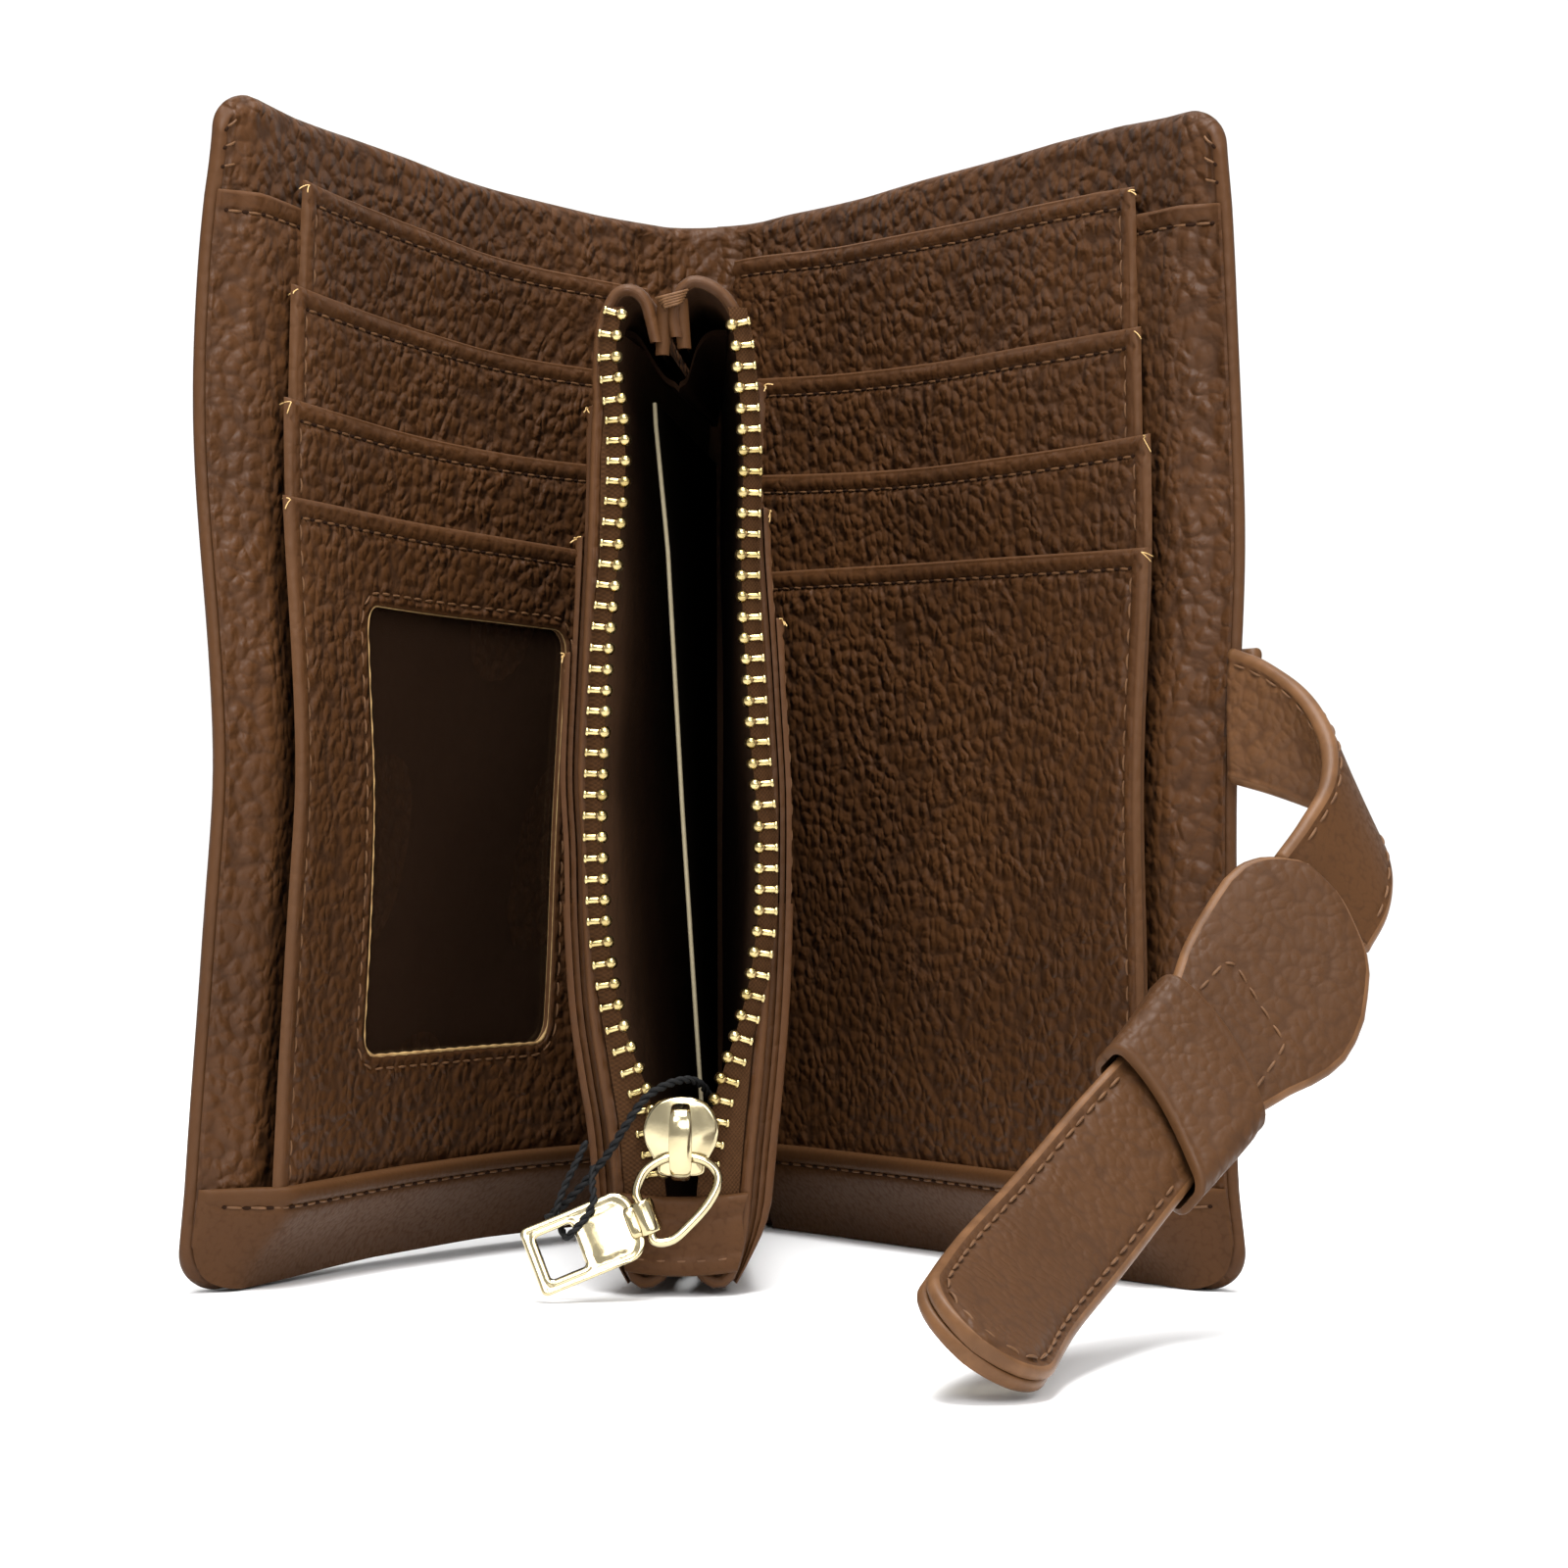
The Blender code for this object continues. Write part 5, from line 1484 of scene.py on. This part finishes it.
# the leather patch below the zip, sewn across the lower ends of the tape
def patch():
    xs = stations(-7.6, 7.6, True, True, step=1.5)
    zs = stations(2.9, 12.2, True, True, step=1.2)
    X, Z = np.meshgrid(xs, zs, indexing="ij")
    d = np.minimum(np.minimum(X + 7.6, 7.6 - X), np.minimum(Z - 2.9, 12.2 - Z))
    h = turned(np.minimum(Z - 2.9, 12.2 - Z), high=0.9, body=0.7, settle=3.0, deep=0.2)
    narrow = 1 - 0.10 * (12.2 - Z) / 9.0 + 0.03 * np.cos(Z)
    bow = 0.9 * (X / 7.6) ** 2
    p = np.stack([POCKET_X + X * narrow, -98.5 - h + bow, Z - 0.5 * (1 - (X / 7.6) ** 2)], -1)
    q = p.copy()
    q[..., 1] = -98.3 + bow
    v, f = slab(p, q)
    # painted highlight along the top and bottom turned edges
    e = np.exp(-((np.minimum(Z - 2.9, 12.2 - Z) / 0.7) ** 2)) * 0.5
    o = build("zip_end_patch_leather", v, f, smooth_l, "root",
              edge=np.concatenate([e.ravel(), e.ravel()]), angle=50)
    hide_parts("zip_end_patch")
    xs = np.linspace(-6.4, 6.4, 14)
    for z in (4.7,):
        pth = np.stack([POCKET_X + xs * 0.93, -99.15 + 0.9 * (xs / 7.6) ** 2, z - 0.5 * (1 - (xs / 7.6) ** 2)], -1)
        sew(STITCH["root"], pth, np.tile([0, -1.0, 0], (len(xs), 1)), 2.6, 1.9)


patch()

# ------------------------------------------------------------------ tag thread
THREAD = [(-18.2, -100.9, 9.4), (-16.0, -100.9, 11.2), (-13.6, -101.0, 13.8), (-11.0, -101.3, 17.0),
          (-9.0, -101.6, 20.2), (-6.7, -101.6, 23.4), (-4.0, -100.4, 25.0), (-1.4, -98.0, 25.3),
          (0.4, -94.6, 23.6), (1.2, -92.0, 19.6)]
route = catmull(THREAD, 28)
line = catmull(THREAD, 160)
tn = unit(np.gradient(line, axis=0))
sd = unit(np.cross(tn, [0, 1.0, 0.2]))
up = np.cross(tn, sd)
b = Buffer()
ph = np.cumsum(np.concatenate([[0], np.linalg.norm(np.diff(line, axis=0), axis=1)])) * 2 * math.pi / 2.6
for k in (0, math.pi):
    b.add(*tube(line + sd * (0.25 * np.cos(ph + k))[:, None] + up * (0.25 * np.sin(ph + k))[:, None], 0.28, 7))
tag = b.make("tag_thread_twist", black_m, "zip_slider", "black_thread", fix=True)
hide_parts("tag_thread")

# ------------------------------------------------------------------ strap
UPPER = [(62.4, -96.6, 76.0), (65.6, -101.6, 74.2), (69.2, -107.4, 70.6), (71.0, -113.2, 65.4),
         (70.2, -118.2, 60.2), (67.2, -121.8, 55.6), (64.0, -124.0, 51.6)]
LOWER = [(62.4, -96.6, 60.0), (67.3, -100.8, 58.4), (73.0, -105.0, 56.0), (77.0, -109.6, 52.8),
         (78.0, -114.2, 48.8), (77.0, -118.4, 44.6), (74.6, -121.2, 40.8)]


def ribbon_section(n0, n1, count=17, r=None):
    """Cross-section of a flat strap with round painted edges: (f from -1 to 1, n, kind)."""
    r = (n1 - n0) / 2 if r is None else r
    c = (n0 + n1) / 2
    fr = np.concatenate([[-1, -.985, -.955, -.91, -.86], np.linspace(-.78, .78, count), [.86, .91, .955, .985, 1]])
    top = [(f, n1, 0) for f in fr]
    a = np.linspace(math.pi / 2, -math.pi / 2, 9)[1:-1]
    right = [(1, c + r * math.sin(t), 1, r * math.cos(t)) for t in a]
    bottom = [(f, n0, 2) for f in fr[::-1]]
    left = [(-1, c + r * math.sin(-t), 1, -r * math.cos(t)) for t in a]
    out = []
    for q in top + right + bottom + left:
        out.append((*q, 0.0) if len(q) == 3 else q)
    return np.array(out)


def ribbon(name, point, stations_, n0, n1, mats, body, width_mm, crown=0.25, groove=None, cap=True, rim=0.5,
           replaces=(), after=None):
    """A strap swept along stations_. point(s, w, n) maps millimetres across and through."""
    sec = ribbon_section(n0, n1)
    P, E = [], []
    for s in stations_:
        half = width_mm(s)
        rr = (n1 - n0) / 2
        w = sec[:, 0] * max(half - rr, 0.01) + sec[:, 3] * min(1.0, half / rr)
        d = np.maximum(half - np.abs(w), 0)
        n = sec[:, 1].copy()
        top, bot = sec[:, 2] == 0, sec[:, 2] == 2
        bulge = crown * smooth(d / 4.0)
        if groove:
            bulge = bulge - 0.22 * np.exp(-(((d - groove) / 0.34) ** 2))
        n = n + top * bulge - bot * bulge * 0.4
        P.append([point(s, a, c) for a, c in zip(w, n)])
        # painted highlight along the strap's rounded edges; the grain there is smoothed too
        E.append(np.where(sec[:, 2] == 1, 1.0, np.exp(-((d / 0.8) ** 2)) * rim))
    P, E = np.array(P), np.array(E)
    nu, nv = P.shape[:2]
    f, fm = [], []
    for i in range(nu - 1):
        for j in range(nv):
            jj = (j + 1) % nv
            f.append((i * nv + j, i * nv + jj, (i + 1) * nv + jj, (i + 1) * nv + j))
            fm.append(int(sec[j, 2]) if sec[j, 2] == sec[jj, 2] else 1)
    f += [tuple(range(nv))[::-1], tuple(range((nu - 1) * nv, nu * nv))]
    fm += [1, 1]
    o = build(name, P.reshape(-1, 3), f, mats, body, face_mats=fm, edge=E.ravel())
    if after:
        after(o)
    if replaces:
        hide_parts(*replaces)
    return o


NS = 60
UP, LO = catmull(UPPER, NS), catmull(LOWER, NS)
MIDL = (UP + LO) / 2
ALONG = unit(np.gradient(MIDL, axis=0))
ACROSS = unit(UP - LO)
WIDE = np.linalg.norm(UP - LO, axis=1)
NORM = unit(np.cross(ALONG, ACROSS))


def strap_point(i, w, n):
    i = int(i)
    return MIDL[i] + ACROSS[i] * w * (WIDE[i] / 16.0) + NORM[i] * n


def strap_blend(o):
    """Bakes the strap piece's placement into its mesh."""
    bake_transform(o)


ribbon("strap_band", strap_point, range(NS), -0.8, 1.25, [strap_peb, edge_paint, smooth_l], None,
       after=strap_blend, width_mm=lambda s: 8.0, crown=0.12, groove=1.7, replaces=("strap_outer_leather", "strap_lining"))
for sgn in (-1, 1):
    idx = np.arange(1, NS - 6)
    pth = MIDL[idx] + ACROSS[idx] * sgn * (6.3 * WIDE[idx] / 16)[:, None]
    if sgn > 0:
        sew(STITCH["strap"], pth + NORM[idx] * 1.22, NORM[idx], 2.9)
    sew(STITCH["strap"], pth - NORM[idx] * 0.82, -NORM[idx], 2.9)

# the part of the strap that is sewn on the outside of the back cover
A0, A1 = 74.0, 106.3


def anchor_point(s, w, n):
    return cover(1, s, 68.2 + w, -0.75 - 0.9 * 0.5 - n)


def anchor_half(s):
    d = A0 + 8.0 - s
    return math.sqrt(max(64 - d * d, 0.3)) if d > 0 else 8.0


st = np.concatenate([A0 + 8 - 8 * np.cos(np.linspace(0.05, 1, 12) * math.pi / 2), np.linspace(A0 + 10, A1, 18)])
ribbon("strap_anchor_leather", anchor_point, st, -0.6, 0.95, [strapped, edge_paint, smooth_l], "back_cover",
       anchor_half, crown=0.15, groove=1.7, replaces=("strap_anchor",))
ss = np.concatenate([np.linspace(A1 - 1, A0 + 8, 30)])
left = [(s, 6.3) for s in ss]
right = [(s, -6.3) for s in ss[::-1]]
arc = [(A0 + 8 - 6.3 * math.sin(t), 6.3 * math.cos(t)) for t in np.linspace(0, math.pi, 16)[1:-1]]
pth = left + arc + right
sew(STITCH["back_cover"], [anchor_point(s, w, 0.98) for s, w in pth], [-inward(1, s) for s, w in pth], 2.9)
box = [(A1 - 4, 4.0), (A1 - 14, 4.0), (A1 - 14, -4.0), (A1 - 4, -4.0), (A1 - 4, 4.0)]


def dense(pts, step=0.8):
    pts = np.array(pts, float)
    s = np.concatenate([[0], np.cumsum(np.linalg.norm(np.diff(pts, axis=0), axis=1))])
    t = np.linspace(0, s[-1], max(4, int(s[-1] / step)))
    return np.stack([np.interp(t, s, pts[:, k]) for k in range(pts.shape[1])], 1)


# pad, keeper and tongue
TONGUE = [(66.6, -125.6, 45.0), (59.6, -130.6, 36.0), (53.2, -137.4, 27.6), (46.0, -146.2, 20.8),
          (38.4, -160.5, 14.0), (32.4, -175.5, 9.6), (29.2, -188.5, 7.2)]
TC = catmull(TONGUE, 161)
TL = np.concatenate([[0], np.cumsum(np.linalg.norm(np.diff(TC, axis=0), axis=1))])


def tongue_frame(s):
    c = min(max(s, 0), TL[-1])
    at = lambda q: np.array([np.interp(q, TL, TC[:, k]) for k in range(3)])
    a = unit(at(min(c + 1.5, TL[-1])) - at(max(c - 1.5, 0)))
    p = at(c) + a * (s - c)
    w = np.array([0.8, 0.0, -0.6])
    w = unit(w - a * w.dot(a))
    return p, a, w, np.cross(a, w)


def tongue_point(s, w, n):
    p, a, v, m = tongue_frame(s)
    return p + v * w + m * n


T1 = float(TL[-1]) + 7.2
KEEP0, KEEP1 = 19.5, 33.5


def tongue_half(s):
    d = s - (T1 - 7.5)
    return math.sqrt(max(56.25 - d * d, 0.02)) if d > 0 else 7.5


# the pad's two edges: how far it reaches to each side of the centreline
PAD_L = ([-4.4, -4.1, -2.8, -1.4, 0.4, 3.2, 6.2, 9.6, 13, 16.4, 20, 26], [-3.0, -4.3, -6.4, -7.9, -9.0, -9.5, -9.4, -9.2, -8.8, -8.0, -7.6, -7.5])
PAD_R = ([-4.4, -4.25, -4.0, -3.3, -2.2, -.4, 1.4, 3.6, 6.4, 9.2, 12, 14.8, 17.2, 19.8, 23.8, 26],
         [-2.8, -1.0, 1.4, 3.3, 5.2, 8.0, 9.6, 10.8, 12.1, 12.7, 12.8, 12.2, 11.2, 9.7, 7.9, 7.5])


def pad_mid(s):
    return (np.interp(s, *PAD_L) + np.interp(s, *PAD_R)) / 2


def pad_half(s):
    return float((np.interp(s, *PAD_R) - np.interp(s, *PAD_L)) / 2)


def pad_point(s, w, n):
    down = 0.8 * smooth((s - 17.0) / 7.0)
    return tongue_point(s, w + pad_mid(s), n - down)


tip = T1 - 7.5 + 7.5 * np.sin(np.linspace(0, 0.995, 16) * math.pi / 2)
body_s = np.linspace(8.5, T1 - 8.2, 52)
st = np.concatenate([body_s, tip])
ribbon("tongue_front", tongue_point, st, -0.95, 0.6, [strapped, edge_paint, smooth_l], "strap_end",
       tongue_half, crown=0.35, groove=1.6, replaces=("tongue_outer_leather",))
ribbon("tongue_back", tongue_point, st, -2.5, -1.02, [smooth_l, edge_paint, strapped], "strap_end",
       lambda s: tongue_half(s), crown=0.0, replaces=("tongue_inner_leather",))
st = np.concatenate([[-4.4, -4.33, -4.25, -4.1, -3.85, -3.5, -3.0, -2.4], np.linspace(-1.6, 24.5, 34)])
ribbon("strap_pad_leather", pad_point, st, 0.75, 2.35, [strapped, edge_paint, smooth_l], "strap_end",
       pad_half, crown=0.45, rim=0.45, replaces=("strap_pad",))

def strap_tail():
    """The strap runs on under the pad, where it is sewn to the tongue."""
    s_ = np.array([2.5, 5.5, 8.5, 10.5])
    mid_t = np.array([tongue_point(q, 0.0, -0.18) for q in s_])
    acr_t = unit(np.array([np.array(tongue_point(q, 1.0, 0.0)) - np.array(tongue_point(q, -1.0, 0.0)) for q in s_]))
    nrm_t = unit(np.array([np.array(tongue_point(q, 0.0, 1.0)) - np.array(tongue_point(q, 0.0, 0.0)) for q in s_]))
    if acr_t[0] @ ACROSS[-1] < 0:
        acr_t = -acr_t
    if nrm_t[0] @ NORM[-1] < 0:
        nrm_t = -nrm_t
    keep = [NS - 5, NS - 2]
    mid_ = catmull(np.concatenate([MIDL[keep] + NORM[keep] * 0.22, mid_t]), 40)
    t_ = np.linspace(0, 1, len(mid_)) * 5
    knots = np.arange(6)
    acr = unit(np.stack([np.interp(t_, knots, c) for c in np.concatenate([ACROSS[keep], acr_t]).T], -1))
    nrm = np.stack([np.interp(t_, knots, c) for c in np.concatenate([NORM[keep], nrm_t]).T], -1)
    nrm = unit(nrm - acr * (nrm * acr).sum(-1, keepdims=True))
    half = np.interp(t_, knots, [7.4 * WIDE[keep[0]] / 16, 7.4 * WIDE[keep[1]] / 16, 7.4, 7.2, 6.6, 6.2])

    def point(k, w, n):
        k = int(k)
        return mid_[k] + acr[k] * w + nrm[k] * n

    def after(o):
        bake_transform(o)

    ribbon("strap_tail", point, range(len(mid_)), -0.72, 0.72, [strap_peb, edge_paint, smooth_l], None,
           after=after, width_mm=lambda k: float(half[int(k)]), crown=0.08, rim=0.3)


strap_tail()

# stitches: round the tongue, and the box that holds the pad
s0 = KEEP1 + 0.5
half = 5.9
s0 = KEEP1 + 1.5
ts = [(s, -half) for s in np.linspace(s0 - 3, T1 - 7.5, 50)]
ts += [(T1 - 7.5 + half * math.sin(t), -half * math.cos(t)) for t in np.linspace(0, math.pi, 24)[1:-1]]
ts += [(s, half) for s in np.linspace(T1 - 7.5, s0 + 4, 50)]
frames = [tongue_frame(s) for s, w in ts]
sew(STITCH["strap_end"], [p + v * w + m * 0.80 for (p, a, v, m), (s, w) in zip(frames, ts)], [q[3] for q in frames], 2.7, 2.0)
sew(STITCH["strap_end"], [p + v * w + m * -2.55 for (p, a, v, m), (s, w) in zip(frames, ts)], [-q[3] for q in frames], 2.7, 2.0)
bx = dense([(17.0, -4.9), (10.8, -4.1), (15.8, 6.2), (22.5, 6.0)])
frames = [tongue_frame(s) for s, w in bx]
sew(STITCH["strap_end"], [p + v * w + m * (2.80 - 0.8 * smooth((s - 17.0) / 7.0)) for (p, a, v, m), (s, w) in zip(frames, bx)],
    [q[3] for q in frames], 2.5, 1.9, r=0.17)


# keeper: a closed band of leather, folded flat round the strap
def keeper():
    hw, top, bot, rr = 8.1, 3.0, -2.7, 1.2
    ring = []
    for cx, cy, a0 in ((hw - rr, top - rr, 0), (-hw + rr, top - rr, 90), (-hw + rr, bot + rr, 180), (hw - rr, bot + rr, 270)):
        for t in np.linspace(0, 90, 8):
            a = math.radians(a0 + t)
            ring.append((cx + rr * math.cos(a), cy + rr * math.sin(a)))
    ring = np.array(ring)
    d = np.concatenate([ring, ring[:1]])
    s = np.concatenate([[0], np.cumsum(np.hypot(*np.diff(d, axis=0).T))])
    t = np.linspace(0, s[-1], 90, endpoint=False)
    ring = np.stack([np.interp(t, s, d[:, 0]), np.interp(t, s, d[:, 1])], 1)
    tan = unit(np.roll(ring, -1, 0) - np.roll(ring, 1, 0))
    nr = np.stack([tan[:, 1], -tan[:, 0]], 1)
    k0, k1 = 17.2, 31.0
    ks = stations(k0, k1, True, True, step=1.4)
    dist = np.minimum(ks - k0, k1 - ks)
    h = 0.95 * np.sqrt(np.clip(1 - (1 - np.clip(dist / 0.6, 0, 1)) ** 2, 0, 1)) - 0.12 * np.exp(-(((dist - 1.3) / 0.5) ** 2))
    front, back = [], []
    for (w, n), (a, b_) in zip(ring, nr):
        f_, b2 = [], []
        # the band lies askew: its right-hand side sits further down the strap
        skew = 0.028 * (w + 8.4) ** 2
        for s_, hh in zip(ks, h):
            sink = (0.9 * smooth((s_ - 21.0) / 10.0)) if n > 0 else 0.0
            f_.append(tongue_point(s_ + skew, w + a * hh, n - sink + b_ * hh))
            b2.append(tongue_point(s_ + skew, w - a * 0.05, n - sink - b_ * 0.05))
        front.append(f_)
        back.append(b2)
    front, back = np.array(front), np.array(back)
    v, f = slab(front, back, wrap=True)
    # painted highlight on the folded ends of the band, where the grain is also smoothed
    e = np.broadcast_to(np.exp(-((dist / 0.6) ** 2)) * 0.8, front.shape[:2])
    o = build("strap_keeper_leather", v, f, strapped, "strap_end",
              edge=np.concatenate([e.ravel(), e.ravel()]), angle=60)
    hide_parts("strap_keeper")


keeper()


# magnetic snap: a turned disc on the tongue's inner face and its mate on the front cover
def snap(name, centre, axis, ref, body, node, r=4.6, male=True):
    axis, ref = unit(np.array(axis, float)), np.array(ref, float)
    x = unit(np.cross(ref, axis))
    y = np.cross(axis, x)
    prof = [(0.01, 0.62 if male else 0.25), (1.6, 0.62 if male else 0.25), (1.9, 0.50), (2.2, 0.34), (3.6, 0.34), (3.9, 0.5),
            (4.3, 0.52), (4.55, 0.36), (4.6, 0.05), (4.6, -0.35), (0.01, -0.35)]
    prof = [(a * r / 4.6, b) for a, b in prof]
    k = 48
    th = np.linspace(0, 2 * math.pi, k, endpoint=False)
    v = np.array([centre + (x * math.cos(t) + y * math.sin(t)) * a + axis * b for a, b in prof for t in th])
    f = [(i * k + q, i * k + (q + 1) % k, (i + 1) * k + (q + 1) % k, (i + 1) * k + q) for i in range(len(prof) - 1) for q in range(k)]
    f += [tuple(range(k)), tuple(range((len(prof) - 1) * k, len(prof) * k))]
    o = build(name, v, f, steel_m, body, angle=35)
    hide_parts(node)


p, a, w, m = tongue_frame(T1 - 13.0)
snap("tongue_snap_disc", p - m * 2.85, -m, a, "strap_end", "snap_plate_tongue", r=4.3)
c = cover(-1, 62.0, 62.0, -0.75)
snap("front_cover_snap_disc", c, -inward(-1, 62.0), (0, 0, 1), "front_cover", "snap_plate_front_cover", r=4.8, male=False)

# the strap's return on the back cover is held by a sewn box
sew(STITCH["back_cover"], [anchor_point(s, w, 1.02) for s, w in dense(box)], [-inward(1, s) for s, w in dense(box)], 2.6, 1.9)

for body, b in STITCH.items():
    o = b.make(f"stitches_{body}", thread_m, None if body == "strap" else body, "pebbled_leather")
    if body == "strap":
        strap_blend(o)
for body, b in TAILS.items():
    if b.v:
        b.make(f"thread_tails_{body}", tail_m, body, "pebbled_leather")
# dark marks at the stitch holes: painted shade
for body, b in HOLE_SHADES.items():
    if b.v:
        b.make(f"stitch_holes_{body}", hole_shade_m, body, "pebbled_leather")

# ------------------------------------------------------------------ floor and light
floor_m = bpy.data.materials.new("floor")
floor_m.use_nodes = True
fb = floor_m.node_tree.nodes["Principled BSDF"]
fb.inputs["Base Color"].default_value = (0.93, 0.93, 0.93, 1)
fb.inputs["Roughness"].default_value = 0.75
me = bpy.data.meshes.new("floor")
bm = bmesh.new()
prof = [(-3.0, 0.0), (0.9, 0.0)] + [(0.9 + 0.6 * math.sin(t), 0.6 - 0.6 * math.cos(t)) for t in np.linspace(0.1, math.pi / 2, 12)] + [(1.5, 2.6)]
prev = None
for y, z in prof:
    row = [bm.verts.new((-3.0, y, z)), bm.verts.new((3.0, y, z))]
    if prev:
        bm.faces.new((prev[0], prev[1], row[1], row[0]))
    prev = row
bm.to_mesh(me)
bm.free()
me.shade_smooth()
me.materials.append(floor_m)
floor = bpy.data.objects.new("floor", me)
scene.collection.objects.link(floor)

world = bpy.data.worlds.new("studio")
world.use_nodes = True
world.node_tree.nodes["Background"].inputs["Color"].default_value = (1, 1, 1, 1)
world.node_tree.nodes["Background"].inputs["Strength"].default_value = 0.62
scene.world = world


def area(name, at, to, size, power):
    d = bpy.data.lights.new(name, "AREA")
    d.shape, d.size, d.energy = "DISK", size, power
    o = bpy.data.objects.new(name, d)
    o.location = at
    v = np.array(to) - np.array(at)
    from mathutils import Vector
    o.rotation_euler = Vector(v).to_track_quat("-Z", "Y").to_euler()
    scene.collection.objects.link(o)


area("key", (-0.30, -1.05, 0.90), (0.0, -0.06, 0.08), 0.45, 3.9)
area("front", (0.14, -1.40, 0.60), (0.0, -0.06, 0.06), 0.50, 6.0)
area("fill", (0.55, -1.05, 0.55), (0.0, -0.06, 0.06), 0.6, 4.0)
area("top", (0.0, -0.05, 1.1), (0.0, -0.05, 0.0), 0.6, 12.0)
area("near", (0.01, -0.28, 0.46), (0.0, 0.0, 0.135), 0.22, 2.6)
